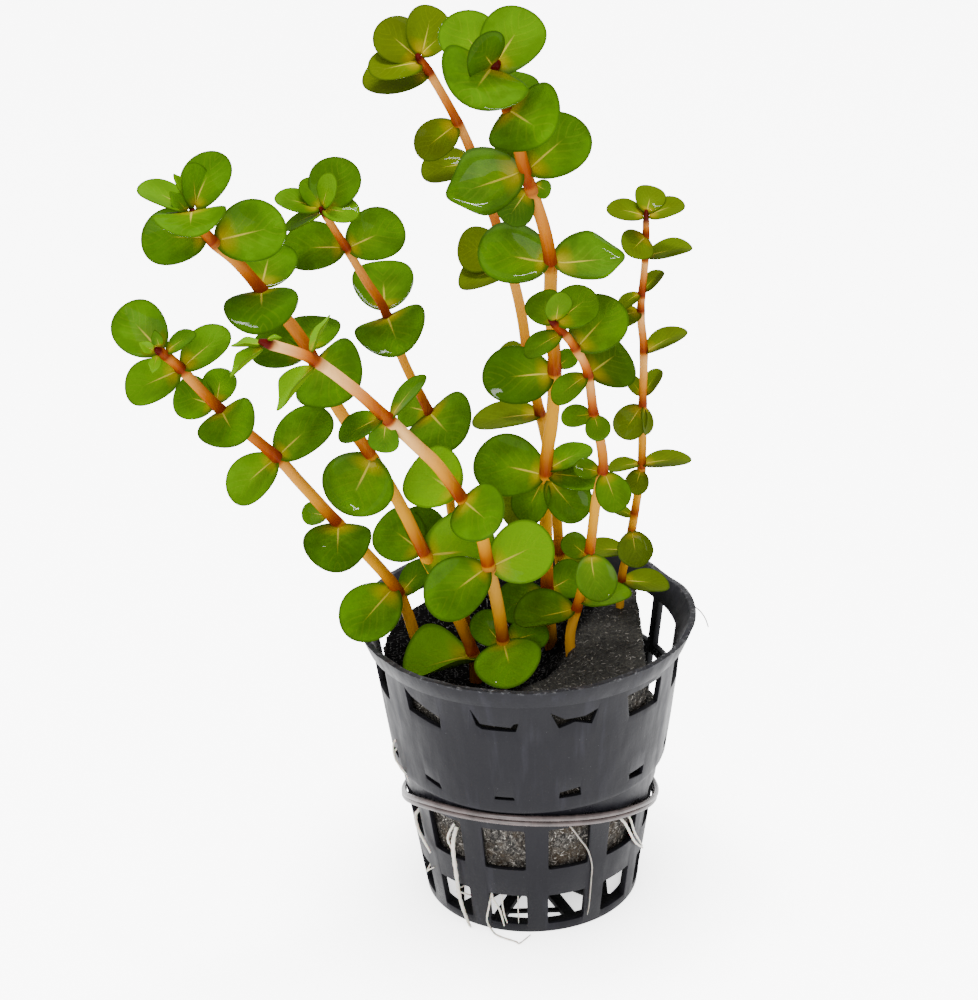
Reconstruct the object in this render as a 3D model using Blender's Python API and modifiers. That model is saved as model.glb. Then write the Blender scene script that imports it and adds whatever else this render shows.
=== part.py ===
"""Potted dwarf rotala: a moulded net pot, a rock wool plug, a rubber band, eight leafy shoots and roots.

The origin is the middle of the pot's underside, +Z is up and the front of the pot is -Y.
"""
from collections import namedtuple
from math import cos, pi, radians, sin

import bmesh
import bpy
from mathutils import Matrix, Vector

# Driving dimensions, in millimetres
POT_HEIGHT = 50.0
RIM_RADIUS = 27.5
BASE_RADIUS = 17.8
WALL = 0.9
FLOOR = 1.5
SHOULDER = 25.6
SHOULDER_DEPTH = 0.9
LIP_HEIGHT = 3.9
LIP_STEP = 0.8
GAP = 0.35
MM = 0.001
FLAT_ANGLE = 0.01

# The wall's radius at the base, under and over the shoulder, and under the lip
UNDER_SHOULDER_RADIUS = 21.7
OVER_SHOULDER_RADIUS = UNDER_SHOULDER_RADIUS + SHOULDER_DEPTH
UNDER_LIP_RADIUS = 25.3

# The pot's windows: twelve columns, an angle of 0 is the front and + is to the right
COLUMNS = 12
PITCH = 360 / COLUMNS
FIRST_WINDOW = 16.5
TURNED_STEPS = 24
FIRST_EDGE = FIRST_WINDOW - PITCH / 2
WINDOW_DEPTH = 6.0

# Window rows as lower edge, upper edge and width in degrees
BOTTOM_ROW = (1.6, 7.7, 19.5)
LOWER_ROW = (13.1, 21.3, 19.5)
UPPER_ROW = (29.0, 36.4, 19.5)
SIDE_TOP_ROW = (40.0, 45.6, 17.0)
BACK_TOP_ROW = (38.0, 46.0)

# Where the smooth front panel closes the upper rows, only these outlines stay open.
# Each is a column and its outline, across the wall and up, from the column's middle at the given height.
FRONT_OPENINGS = (
    (-43.5, 43.0, ((-3.4, 2.2), (-3.0, -1.8), (3.6, -3.0), (3.7, -0.9), (-1.2, 0.9), (-2.0, 1.2))),
    (-13.5, 43.2, ((-3.8, 2.1), (-2.9, -1.0), (-2.0, -1.6), (3.4, -1.7), (3.9, -0.1), (3.2, -0.2),
                   (2.6, -0.9), (-2.2, -0.6))),
    (16.5, 43.2, ((-4.2, 1.7), (-2.8, -1.4), (-0.2, -0.5), (2.6, -1.5), (3.6, 1.2), (1.4, 0.3), (-1.8, 0.2))),
    (46.5, 42.6, ((-4.1, 2.3), (-3.2, -2.0), (3.9, -2.3), (4.2, 2.4))),
    (-43.5, 28.4, ((-1.6, 0.9), (-1.4, 0.0), (1.9, -0.9), (1.5, 0.2))),
    (-13.5, 28.4, ((-0.6, 0.3), (-0.7, -0.3), (2.6, -0.3), (2.4, 0.3))),
    (16.5, 28.9, ((-2.3, 0.4), (-2.4, -0.8), (1.3, -0.8), (1.1, 0.9))),
    (46.5, 28.2, ((-1.5, 0.6), (-1.3, -0.5), (2.0, -0.9), (2.2, 0.8))),
)
SIDE_COLUMNS = (-73.5, 76.5)
BACK_COLUMNS = (106.5, 136.5, 166.5, -163.5, -133.5, -103.5)
SIDE_SLOT = (27.9, 29.4, 10.0)

# The wide windows of the back's top row, as an angle and a width
BACK_TOP_WINDOWS = ((103.7, 20.0), (131.3, 25.0), (161.3, 25.0),
                    (-168.7, 25.0), (-138.7, 25.0), (-108.7, 25.0))

# The floor: a hub, spokes at these degrees and thin bars across at these degrees
HUB_RADIUS = 4.5
BASE_RING = 15.9
SPOKE_ANGLES = (-47.0, -22.5, 22.5, 52.0, 128.0, 157.5, -157.5, -133.0)
SPOKE_REACH = (3.0, 16.5)
SPOKE_WIDTH = 1.9
SPOKE_HEIGHT = 1.0
BAR_ANGLES = (0, 90, 180, 270)
BAR_DISTANCE = 12.0
BAR_LENGTHS = (10.2, 18.4, 10.2, 22.0)
BAR_WIDTH = 0.9
BAR_HEIGHT = 0.55
GRID_STEP = 0.1

# The rock wool: a tapered plug with a sloping top, a hollow for the stems and a flat on the right
WOOL_BOTTOM = 6.3
WOOL_MIDDLE_HEIGHT = 45.5
WOOL_SLOPE = 3.5
WOOL_FLAT = 18.9
WOOL_FLAT_BOTTOM = 31.0
HOLLOW_MIDDLE = (-4.0, -1.0, 48.5)
HOLLOW_RADII = (18.0, 18.0, 9.5)
STEM_FOOT = 36.5
STEM_HOLE_RADIUS = 1.55

# The rubber band: one loop wound twice around the pot, under the shoulder in front and lower behind
BAND_STRAND = 1.05
BAND_SPREAD = 0.75
BAND_STEPS = 24
BAND_LIFT = 1.5

# The band's height every 45 degrees, from the front to the right and around the back
BAND_HEIGHTS = (23.8, 20.8, 15.9, 13.9, 13.5, 14.2, 17.3, 23.0)

# Stems and leaves
STEM_RADII = (1.0, 0.95, 0.6)
LEAF_SIDES = 9
SMALL_LEAF = 9.0
SMALL_LEAF_SIDES = 8
LEAF_THICKNESS = 0.62
LEAF_CUP = 0.09
FACE_UP = 25.0

Leaf = namedtuple("Leaf", "height turn lean roll length width", defaults=(0.95,))
Shoot = namedtuple("Shoot", "name color route leaves")

GREEN = (0.13, 0.28, 0.02, 1.0)
OLIVE = (0.16, 0.2, 0.02, 1.0)

# A leaf joins its stem at a height above the floor. Seen from the front and above, turn is where its tip
# points (0 right, 90 up), lean brings the tip forward, roll tips the face up, length is base to tip and
# width is a share of the length.
SHOOTS = (
    Shoot("shoot_far_left", GREEN,
          ((-18, 2, 44), (-20.5, -1, 54.5), (-25.5, -5, 64), (-29.5, -7.5, 70.5), (-34.5, -11, 79),
           (-37.5, -13, 84), (-45, -17.5, 94), (-50.5, -21.5, 103), (-53, -24, 106.5)),
          (Leaf(55.8, -146, 34, 16, 10.8), Leaf(54, 50, 0, 45, 7.0), Leaf(70, -88, 62, 0, 9.0, 1.15),
           Leaf(72, 170, -5, 0, 4.5), Leaf(84, 42, 0, 35, 10.5), Leaf(84, -143, 0, 35, 9.5),
           Leaf(94, -58, 58, 0, 8.4, 1.15), Leaf(95, 160, -20, 0, 7.5), Leaf(95, 82, -15, 0, 6.0),
           Leaf(102, 40, 0, 40, 9.0), Leaf(102, -160, 0, 30, 9.0), Leaf(105, 38, 0, 50, 5.5),
           Leaf(105.6, 131, 0, 0, 9.0))),
    Shoot("shoot_upper_left", GREEN,
          ((-8.5, -3, 43), (-10.5, -4.5, 50), (-16, -8, 65), (-19.5, -10.5, 75), (-23.5, -12.5, 84),
           (-28, -15.5, 93.5), (-32, -18, 104.5), (-37.5, -21, 114), (-40.5, -23, 119), (-44, -24, 123),
           (-46, -26, 128)),
          (Leaf(45.4, -178, 32, 40, 13), Leaf(64, -12, -18, 0, 10.4, 1.15), Leaf(65, 90, -20, 20, 8.0),
           Leaf(65, 142, -25, 0, 10.0), Leaf(83, -118, 30, 0, 11.4), Leaf(101, -40, 60, 0, 9.8, 1.15),
           Leaf(103, 85, -50, 0, 9.5), Leaf(103, 168, -10, 25, 9.0), Leaf(114, -76, 64, 0, 9.6, 1.15),
           Leaf(114, 80, -35, 0, 10.0), Leaf(122, 13, 0, 10, 10.4), Leaf(123.4, 177, 0, 12, 9.6),
           Leaf(128, -92, 70, 0, 10.0, 1.15), Leaf(128, 66, 0, 25, 9.0), Leaf(128, 88, 20, 55, 6.5),
           Leaf(128, 150, 0, 58, 8.2))),
    Shoot("shoot_middle_left", GREEN,
          ((-10, 10, 43), (-11.5, 6, 64), (-13, 2.5, 79.5), (-14.5, 1, 85), (-18, -1.5, 94.5),
           (-20.5, -4, 104), (-23, -6, 109.5), (-26, -7.5, 116), (-29, -10, 122.5)),
          (Leaf(85, -28, 62, 0, 9.2, 1.15), Leaf(85, 163, -45, 0, 7.5), Leaf(103, -70, 65, 0, 9.6, 1.15),
           Leaf(104, 93, -35, 0, 10.5), Leaf(115, 24, 0, 18, 9.4), Leaf(115.5, 178, 0, 22, 9.4),
           Leaf(121.8, -160, 0, 60, 6.2), Leaf(122, -10, 15, 40, 5.8), Leaf(122, 66, 0, 10, 8.5),
           Leaf(122, 115, 0, 35, 5.5), Leaf(122.5, 160, 10, 50, 6.8), Leaf(122.6, 70, 30, 50, 5.5))),
    Shoot("shoot_front", GREEN,
          ((-3.5, -6, 43.5), (-4.5, -9.5, 55), (-6, -12.5, 65), (-7.5, -15, 73), (-12.5, -19.5, 84),
           (-16, -21.5, 89), (-20.5, -24, 95), (-25, -27, 101), (-30.5, -30.5, 107), (-37, -34, 111)),
          (Leaf(49, -76, 58, 0, 9.8, 1.15), Leaf(48, 17, 0, 35, 7.5), Leaf(48, 129, 0, 5, 6.5),
           Leaf(64, -146, 5, 12, 11.0), Leaf(64, 24, 0, 0, 10.8), Leaf(78, -42, 54, 0, 8.6, 1.15),
           Leaf(79, 145, -38, 0, 11.5), Leaf(94, 55, 0, 70, 8.5), Leaf(94, -100, -30, 0, 5.5),
           Leaf(95, -157, 0, 50, 7.5), Leaf(106, -134, 0, 62, 9.0), Leaf(107, 65, 0, 70, 6.8),
           Leaf(110.5, -144, 0, 65, 7.0), Leaf(110.5, 178, 0, 68, 5.0))),
    Shoot("shoot_tall_behind", OLIVE,
          ((6.5, 12.5, 43), (6, 12, 53), (5, 8.5, 69.5), (3.5, 6.5, 79.5), (1.5, 4, 90.5), (0.5, 2, 99.5),
           (-0.5, 0.5, 105.5), (-2, -1, 112), (-6, -5, 127), (-8.5, -7, 134), (-12, -9, 141.5),
           (-14, -10, 145)),
          (Leaf(54, -42, 15, 0, 7.0), Leaf(69, -148, -20, 20, 11.0), Leaf(82, -177, 0, 60, 11.0),
           Leaf(91, 147, -20, 0, 6.0), Leaf(109, -167, 0, 58, 8.5), Leaf(112, 175, -20, 0, 8.0),
           Leaf(127.2, -174, 0, 38, 8.2), Leaf(133.6, -146, 0, 20, 7.5), Leaf(142, 180, 0, 42, 9.8),
           Leaf(144, -168, 22, 40, 8.0), Leaf(144.5, 138, 10, 10, 7.4), Leaf(144.5, 74, 0, 20, 7.8),
           Leaf(144.5, 43, 0, 30, 5.5))),
    Shoot("shoot_tallest", GREEN,
          ((4, 3, 43), (3.5, 1, 54), (3.5, -4.5, 76.5), (4.5, -7, 86), (5, -9.5, 95.5), (4.5, -13, 108),
           (4.5, -14.5, 114.5), (3.5, -16.5, 121), (1, -19.5, 130), (0, -20.5, 134.5), (-1.5, -22.5, 140.5),
           (-3.5, -25, 148)),
          (Leaf(52, -165, 0, 20, 8.5), Leaf(53, 26, -20, 0, 7.5), Leaf(75, -52, 0, 20, 8.5),
           Leaf(75, -120, 0, 30, 7.5), Leaf(76, -5, 0, 45, 8.5), Leaf(76, 165, 0, 20, 11.5),
           Leaf(77, 29, 0, 55, 8.0), Leaf(95, -178, 10, 32, 11.2), Leaf(96, 40, 0, 15, 4.0),
           Leaf(114, 6, -8, 34, 11.2), Leaf(114.5, 168, 0, 12, 10.8), Leaf(127, -128, -25, 0, 6.5),
           Leaf(130, -164, 0, 12, 11.8), Leaf(130, 41, 0, 26, 11.2), Leaf(131, 140, -20, 0, 6.0),
           Leaf(140, -30, 52, 0, 9.8, 1.15), Leaf(140, 82, -40, 0, 9.5), Leaf(147, -116, 58, 0, 10.6, 1.15),
           Leaf(147, 49, 0, 22, 9.2), Leaf(147, 133, 0, 15, 9.6), Leaf(147.4, 155, 42, 45, 7.4))),
    Shoot("shoot_middle_right", GREEN,
          ((7, -4, 43), (7, -5.5, 49), (9, -7.5, 58), (10, -9.5, 65), (11, -12, 75), (12, -13.5, 81),
           (11.5, -15, 86.5), (10.5, -16.5, 91.5), (9.5, -18.5, 99), (7, -20.5, 104.5), (4, -22, 108.5)),
          (Leaf(53, -168, 0, 50, 10.0), Leaf(55, 11, 0, 60, 8.5), Leaf(64.4, -84, 8, 20, 7.9),
           Leaf(64, 138, 0, 15, 5.0), Leaf(80, 165, 0, 35, 4.5), Leaf(80, -70, 0, 20, 6.5),
           Leaf(91, -78, 25, 0, 4.5), Leaf(91, -177, 0, 30, 5.0), Leaf(98, 36, -42, 0, 10.8),
           Leaf(98, -147, 0, 45, 6.5), Leaf(103, 47, 0, 10, 9.5), Leaf(106, -155, 0, 50, 6.5),
           Leaf(107.5, 37, 0, 15, 7.5), Leaf(107.5, 118, -25, 0, 6.5), Leaf(108, 78, 35, 30, 5.0))),
    Shoot("shoot_right", OLIVE,
          ((15.5, 8, 43), (16, 7.5, 52), (17, 6.5, 57.5), (18.5, 4, 69), (19, 3, 74.5), (19, 0.5, 85.5),
           (19, -2, 95.5), (18.5, -3.5, 101), (18.5, -4.5, 105), (19, -6, 112), (19, -8, 120)),
          (Leaf(51, -3, 0, 60, 8.0), Leaf(57, 174, 0, 65, 8.0), Leaf(61, -84, 12, 0, 6.4),
           Leaf(64, 156, 0, 55, 4.0), Leaf(73, -110, 20, 0, 4.5), Leaf(74, -176, 0, 65, 5.5),
           Leaf(74, 8, 0, 65, 8.0), Leaf(85, -126, 0, 10, 6.0), Leaf(85, -80, 0, 60, 4.5),
           Leaf(87, 122, 0, 45, 4.0), Leaf(87, 60, 0, 55, 5.0), Leaf(95, 30, 0, 65, 7.5),
           Leaf(102.6, -166, 20, 42, 6.4), Leaf(106, 51, 0, 55, 4.5), Leaf(105.6, -150, 0, 50, 4.0),
           Leaf(112, 14, 0, 60, 7.2), Leaf(115.6, -160, 48, 15, 6.4, 1.15), Leaf(119, 20, 0, 45, 6.0),
           Leaf(119, 163, 0, 45, 6.0), Leaf(119.5, 74, -30, 0, 5.5))),
)

# Roots: an angle around the pot, a height and how far they stand off the wall's outside
ROOT_RADIUS = 0.42
ROOTS = (
    ("root_front_left", ((-38, 19.2, -0.6), (-38, 17.4, 0.4), (-38.5, 15.0, 0.95), (-39.5, 10.5, 0.9),
                         (-40, 6.0, 0.9), (-39, 3.0, 0.9), (-36.5, 0.9, 1.0))),
    ("root_right", ((44, 19.6, -0.6), (46, 18.2, 0.4), (50, 15.6, 0.95), (56, 12.6, 1.0), (66, 9.8, 1.3))),
    ("root_far_left", ((-69, 17.6, -0.6), (-68, 16.6, 0.4), (-64.5, 14.4, 0.95), (-57, 11.4, 0.95))),
)


def clear_scene():
    for item in list(bpy.data.objects):
        bpy.data.objects.remove(item, do_unlink=True)


def collection(name):
    group = bpy.data.collections.new(name)
    bpy.context.scene.collection.children.link(group)
    return group


def material(name, color, roughness):
    result = bpy.data.materials.new(name)
    result.use_nodes = True
    shader = result.node_tree.nodes["Principled BSDF"]
    shader.inputs["Base Color"].default_value = color
    shader.inputs["Roughness"].default_value = roughness
    shader.inputs["Metallic"].default_value = 0.0
    result.diffuse_color = color
    return result


def add_object(name, mesh, group):
    item = bpy.data.objects.new(name, mesh)
    group.objects.link(item)
    return item


def add_cutter(name, mesh):
    item = add_object(name, mesh, CUTTERS)
    item.hide_render = True
    item.display_type = "WIRE"
    return item


def mesh_from_bmesh(name, shape):
    mesh = bpy.data.meshes.new(name)
    shape.to_mesh(mesh)
    shape.free()
    return mesh


def combine(item, other, operation):
    """Applies an exact Boolean of the other object to the item and removes the other object."""
    change = item.modifiers.new("boolean", "BOOLEAN")
    change.operation = operation
    change.solver = "EXACT"
    change.object = other
    bpy.context.view_layer.update()
    evaluated = item.evaluated_get(bpy.context.evaluated_depsgraph_get())
    mesh = bpy.data.meshes.new_from_object(evaluated)
    item.modifiers.clear()
    item.data = mesh
    mesh.name = item.name
    bpy.data.objects.remove(other, do_unlink=True)


def merge_flat_faces(mesh):
    shape = bmesh.new()
    shape.from_mesh(mesh)
    bmesh.ops.dissolve_limit(shape, angle_limit=FLAT_ANGLE, verts=shape.verts, edges=shape.edges)
    shape.to_mesh(mesh)
    shape.free()


def finish(item, color, roughness, smooth_angle=40):
    merge_flat_faces(item.data)
    item.data.materials.clear()
    item.data.materials.append(material(item.name, color, roughness))
    item.data.shade_smooth()
    item.data.set_sharp_from_angle(angle=radians(smooth_angle))


def outer_radius(height):
    """The radius of the wall's outside at a height over the floor."""
    if height <= SHOULDER:
        share = height / SHOULDER
        return BASE_RADIUS + share * (UNDER_SHOULDER_RADIUS - BASE_RADIUS)
    share = (height - SHOULDER) / (POT_HEIGHT - LIP_HEIGHT - SHOULDER)
    return OVER_SHOULDER_RADIUS + share * (UNDER_LIP_RADIUS - OVER_SHOULDER_RADIUS)


def on_wall(angle, height, outside):
    """A point at an angle around the pot, standing off the wall's outside."""
    radius = outer_radius(height) + outside
    return Vector((radius * sin(radians(angle)), -radius * cos(radians(angle)), height)) * MM


def turned(name, profile, group):
    """Turns a closed profile of radius and height points around the Z axis."""
    shape = bmesh.new()
    corners = [shape.verts.new(Vector((radius, 0, height)) * MM) for radius, height in profile]
    for first, second in zip(corners, corners[1:] + corners[:1]):
        shape.edges.new((first, second))
    item = add_object(name, mesh_from_bmesh(name, shape), group)
    screw = item.modifiers.new("screw", "SCREW")
    screw.steps = TURNED_STEPS
    screw.render_steps = TURNED_STEPS
    screw.use_merge_vertices = True
    screw.merge_threshold = 0.00001
    screw.use_normal_calculate = True
    bpy.context.view_layer.update()
    evaluated = item.evaluated_get(bpy.context.evaluated_depsgraph_get())
    mesh = bpy.data.meshes.new_from_object(evaluated)
    item.modifiers.clear()
    item.data = mesh
    mesh.transform(Matrix.Rotation(radians(FIRST_EDGE), 4, "Z"))
    face_out(mesh)
    return item


def face_out(mesh):
    shape = bmesh.new()
    shape.from_mesh(mesh)
    bmesh.ops.recalc_face_normals(shape, faces=shape.faces)
    shape.to_mesh(mesh)
    shape.free()


def cylinder(name, radius, bottom, top, sides, middle=(0, 0), group=None):
    shape = bmesh.new()
    place = Matrix.Translation(Vector((middle[0], middle[1], (bottom + top) / 2)) * MM)
    bmesh.ops.create_cone(shape, cap_ends=True, segments=sides, radius1=radius * MM, radius2=radius * MM,
                          depth=(top - bottom) * MM, matrix=place)
    return add_object(name, mesh_from_bmesh(name, shape), group or CUTTERS)


def box(name, low, high):
    shape = bmesh.new()
    size = Vector(high) - Vector(low)
    middle = (Vector(high) + Vector(low)) / 2
    place = Matrix.Translation(middle * MM) @ Matrix.Diagonal((*(size * MM), 1))
    bmesh.ops.create_cube(shape, size=1, matrix=place)
    return add_cutter(name, mesh_from_bmesh(name, shape))


def window_cutter(name, angle, height, outline):
    """A flat outline, extruded through the wall at an angle around the pot."""
    curve = bpy.data.curves.new(name, "CURVE")
    curve.dimensions = "2D"
    curve.fill_mode = "BOTH"
    curve.extrude = WINDOW_DEPTH / 2 * MM
    line = curve.splines.new("POLY")
    line.points.add(len(outline) - 1)
    for point, (across, up) in zip(line.points, outline):
        point.co = (across * MM, up * MM, 0, 1)
    line.use_cyclic_u = True
    item = add_object(name, curve, CUTTERS)
    radius = outer_radius(height) - WALL / 2
    spot = Vector((0, -radius, height)) * MM
    item.matrix_world = (Matrix.Rotation(radians(angle), 4, "Z") @ Matrix.Translation(spot)
                         @ Matrix.Rotation(pi / 2, 4, "X"))
    return curve_to_mesh(item)


def curve_to_mesh(item):
    """Turns a curve object into a mesh in world space with its caps welded on."""
    bpy.context.view_layer.update()
    evaluated = item.evaluated_get(bpy.context.evaluated_depsgraph_get())
    mesh = bpy.data.meshes.new_from_object(evaluated)
    mesh.transform(item.matrix_world)
    shape = bmesh.new()
    shape.from_mesh(mesh)
    bmesh.ops.remove_doubles(shape, verts=shape.verts, dist=0.000002)
    bmesh.ops.recalc_face_normals(shape, faces=shape.faces)
    shape.to_mesh(mesh)
    shape.free()
    group = item.users_collection[0]
    name = item.name
    bpy.data.objects.remove(item, do_unlink=True)
    return add_object(name, mesh, group)


def row_outline(row):
    """The corners of a plain window, a little wider at its top as the wall is."""
    low, high, degrees = row
    middle = (low + high) / 2
    below = outer_radius(low) * sin(radians(degrees / 2))
    above = outer_radius(high) * sin(radians(degrees / 2))
    return ((-above, high - middle), (-below, low - middle), (below, low - middle), (above, high - middle))


def plain_window(name, angle, row):
    return window_cutter(name, angle, (row[0] + row[1]) / 2, row_outline(row))


def window_cutters():
    cutters = []
    for column in range(COLUMNS):
        angle = FIRST_WINDOW + column * PITCH
        cutters.append(plain_window(f"cut_bottom_{column}", angle, BOTTOM_ROW))
        cutters.append(plain_window(f"cut_lower_{column}", angle, LOWER_ROW))
    for number, angle in enumerate(BACK_COLUMNS):
        cutters.append(plain_window(f"cut_upper_{number}", angle, UPPER_ROW))
    for number, (angle, degrees) in enumerate(BACK_TOP_WINDOWS):
        cutters.append(plain_window(f"cut_top_{number}", angle, (*BACK_TOP_ROW, degrees)))
    for number, angle in enumerate(SIDE_COLUMNS):
        cutters.append(plain_window(f"cut_side_{number}", angle, SIDE_TOP_ROW))
        cutters.append(plain_window(f"cut_slot_{number}", angle, SIDE_SLOT))
    for number, (angle, height, outline) in enumerate(FRONT_OPENINGS):
        cutters.append(window_cutter(f"cut_front_{number}", angle, height, outline))
    return cutters


def joined(name, items):
    """Joins separate cutters into one mesh and removes them."""
    shape = bmesh.new()
    for item in items:
        shape.from_mesh(item.data)
        bpy.data.objects.remove(item, do_unlink=True)
    return add_cutter(name, mesh_from_bmesh(name, shape))


def make_floor_grid():
    """The hub with its spokes, and the thin bars across them a little lower."""
    grid = cylinder("hub", HUB_RADIUS, 0, SPOKE_HEIGHT, 12)
    for angle in SPOKE_ANGLES:
        inner, outer = SPOKE_REACH
        low = (-SPOKE_WIDTH / 2, -outer, GRID_STEP / 2)
        spoke = box("spoke", low, (SPOKE_WIDTH / 2, -inner, SPOKE_HEIGHT - GRID_STEP / 2))
        spoke.data.transform(Matrix.Rotation(radians(angle), 4, "Z"))
        combine(grid, spoke, "UNION")
    for angle, length in zip(BAR_ANGLES, BAR_LENGTHS):
        low = (-length / 2, -(BAR_DISTANCE + BAR_WIDTH / 2), GRID_STEP)
        bar = box("bar", low, (length / 2, -(BAR_DISTANCE - BAR_WIDTH / 2), BAR_HEIGHT - GRID_STEP))
        bar.data.transform(Matrix.Rotation(radians(angle), 4, "Z"))
        combine(grid, bar, "UNION")
    return grid


def make_pot():
    inner_under = UNDER_SHOULDER_RADIUS - WALL
    inner_over = OVER_SHOULDER_RADIUS - WALL
    inner_lip = UNDER_LIP_RADIUS - WALL
    lip_bottom = POT_HEIGHT - LIP_HEIGHT
    profile = (
        (BASE_RING, 0), (BASE_RADIUS, 0), (UNDER_SHOULDER_RADIUS, SHOULDER), (OVER_SHOULDER_RADIUS, SHOULDER + 0.6),
        (UNDER_LIP_RADIUS, lip_bottom), (UNDER_LIP_RADIUS + LIP_STEP, lip_bottom + 0.4),
        (RIM_RADIUS, POT_HEIGHT), (RIM_RADIUS - 1.1, POT_HEIGHT),
        (inner_lip, lip_bottom), (inner_over, SHOULDER + 1.2), (inner_under, SHOULDER - 0.4),
        (BASE_RADIUS - WALL, FLOOR), (BASE_RING, FLOOR))
    pot = turned("pot", profile, PARTS)
    combine(pot, make_floor_grid(), "UNION")
    combine(pot, joined("windows", window_cutters()), "DIFFERENCE")
    finish(pot, (0.028, 0.029, 0.033, 1), 0.38)


def make_wool():
    inside = [(outer_radius(height) - WALL - GAP, height) for height in (WOOL_BOTTOM, SHOULDER - 0.8)]
    over = [(outer_radius(height) - WALL - GAP - 0.1, height) for height in (SHOULDER + 2.0, POT_HEIGHT)]
    profile = [(0, WOOL_BOTTOM)] + inside + over + [(0, POT_HEIGHT)]
    wool = turned("rock_wool", profile, PARTS)
    top = box("wool_top", (-40, -40, 0), (40, 40, 20))
    top.data.transform(Matrix.Translation((0, 0, WOOL_MIDDLE_HEIGHT * MM))
                       @ Matrix.Rotation(-radians(WOOL_SLOPE), 4, "Y"))
    combine(wool, top, "DIFFERENCE")
    combine(wool, box("wool_flat", (WOOL_FLAT, -40, WOOL_FLAT_BOTTOM), (40, 40, 60)), "DIFFERENCE")
    shape = bmesh.new()
    place = Matrix.Translation(Vector(HOLLOW_MIDDLE) * MM) @ Matrix.Diagonal((*(Vector(HOLLOW_RADII) * MM), 1))
    bmesh.ops.create_icosphere(shape, subdivisions=2, radius=1, matrix=place)
    combine(wool, add_cutter("wool_hollow", mesh_from_bmesh("wool_hollow", shape)), "DIFFERENCE")
    for shoot in SHOOTS:
        foot = shoot.route[0]
        hole = cylinder("stem_hole", STEM_HOLE_RADIUS, STEM_FOOT - 0.6, 60, 6, foot[:2])
        combine(wool, hole, "DIFFERENCE")
    finish(wool, (0.06, 0.058, 0.055, 1), 0.95, 30)


def band_points():
    """The middle line of a strand that goes around twice and crosses itself once, at the back.

    The heights are smoothed over a turn more at each end, so that the loop closes without a kink.
    """
    knots = [Vector((0, 0, height)) for height in BAND_HEIGHTS * 4]
    heights = [point.z for point in smooth_route(knots, BAND_STEPS // len(BAND_HEIGHTS))]
    points = []
    total = 2 * BAND_STEPS
    for step in range(total):
        turn = 4 * pi * step / total
        height = heights[BAND_STEPS + step] + BAND_SPREAD * cos(turn / 2)
        lift = BAND_LIFT * max(0.0, sin(turn / 2)) ** 6
        radius = outer_radius(height) + BAND_STRAND / 2 + GAP + 0.1 + lift
        points.append(Vector((radius * sin(turn), -radius * cos(turn), height)) * MM)
    return points


def tube(name, points, radii, sides_level, closed=False):
    """A round tube along points, with a radius of its own at each."""
    curve = bpy.data.curves.new(name, "CURVE")
    curve.dimensions = "3D"
    curve.bevel_depth = 1.0 * MM
    curve.bevel_resolution = sides_level
    curve.use_fill_caps = not closed
    line = curve.splines.new("POLY")
    line.points.add(len(points) - 1)
    for point, place, radius in zip(line.points, points, radii):
        point.co = (*place, 1)
        point.radius = radius
    line.use_cyclic_u = closed
    return curve_to_mesh(add_object(name, curve, PARTS))


def make_band():
    points = band_points()
    band = tube("rubber_band", points, [BAND_STRAND / 2] * len(points), 1, closed=True)
    finish(band, (0.13, 0.1, 0.09, 1), 0.35, 60)


def smooth_route(route, steps):
    """A Catmull-Rom curve through the route's points, as steps points for each stretch."""
    knots = [Vector(point) for point in route]
    knots = [2 * knots[0] - knots[1]] + knots + [2 * knots[-1] - knots[-2]]
    points = []
    for before, start, end, after in zip(knots, knots[1:], knots[2:], knots[3:]):
        for step in range(steps):
            t = step / steps
            bend = 2 * before - 5 * start + 4 * end - after
            twist = 3 * start - before - 3 * end + after
            points.append((2 * start + (end - before) * t + bend * t * t + twist * t ** 3) / 2)
    points.append(knots[-2])
    return points


def point_at_height(points, height):
    for low, high in zip(points, points[1:]):
        if low.z <= height <= high.z:
            return low.lerp(high, (height - low.z) / (high.z - low.z))
    return points[-1] if height > points[-1].z else points[0]


def leaf_axes(leaf):
    """The directions of a leaf's midrib, of its side and of its upper face."""
    facing = Vector((0, -cos(radians(FACE_UP)), sin(radians(FACE_UP))))
    right = Vector((1, 0, 0))
    up = facing.cross(right)
    turn, lean, roll = radians(leaf.turn), radians(leaf.lean), radians(leaf.roll)
    midrib = cos(lean) * (cos(turn) * right + sin(turn) * up) + sin(lean) * facing
    normal = (facing - facing.dot(midrib) * midrib).normalized()
    tilt = normal.cross(midrib)
    if tilt.dot(up + 0.3 * right) < 0:
        tilt = -tilt
    normal = cos(roll) * normal + sin(roll) * tilt
    return midrib, normal.cross(midrib), normal


def make_leaf(leaf, base):
    """A flat round lens, narrower at its base, cupped along its midrib and bent back at its tip."""
    shape = bmesh.new()
    sides = LEAF_SIDES if leaf.length > SMALL_LEAF else SMALL_LEAF_SIDES
    bmesh.ops.create_uvsphere(shape, u_segments=sides, v_segments=2, radius=0.5)
    midrib, side, normal = leaf_axes(leaf)
    for corner in shape.verts:
        along = corner.co.x + 0.5
        across = corner.co.y * leaf.width * (0.9 + 0.2 * along)
        cup = LEAF_CUP * (4 * across * across - along * along)
        lift = cup * leaf.length + 2 * corner.co.z * LEAF_THICKNESS / 2
        corner.co = (base + midrib * along * leaf.length + side * across * leaf.length + normal * lift) * MM
    bmesh.ops.recalc_face_normals(shape, faces=shape.faces)
    return add_cutter("leaf", mesh_from_bmesh("leaf", shape))


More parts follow.
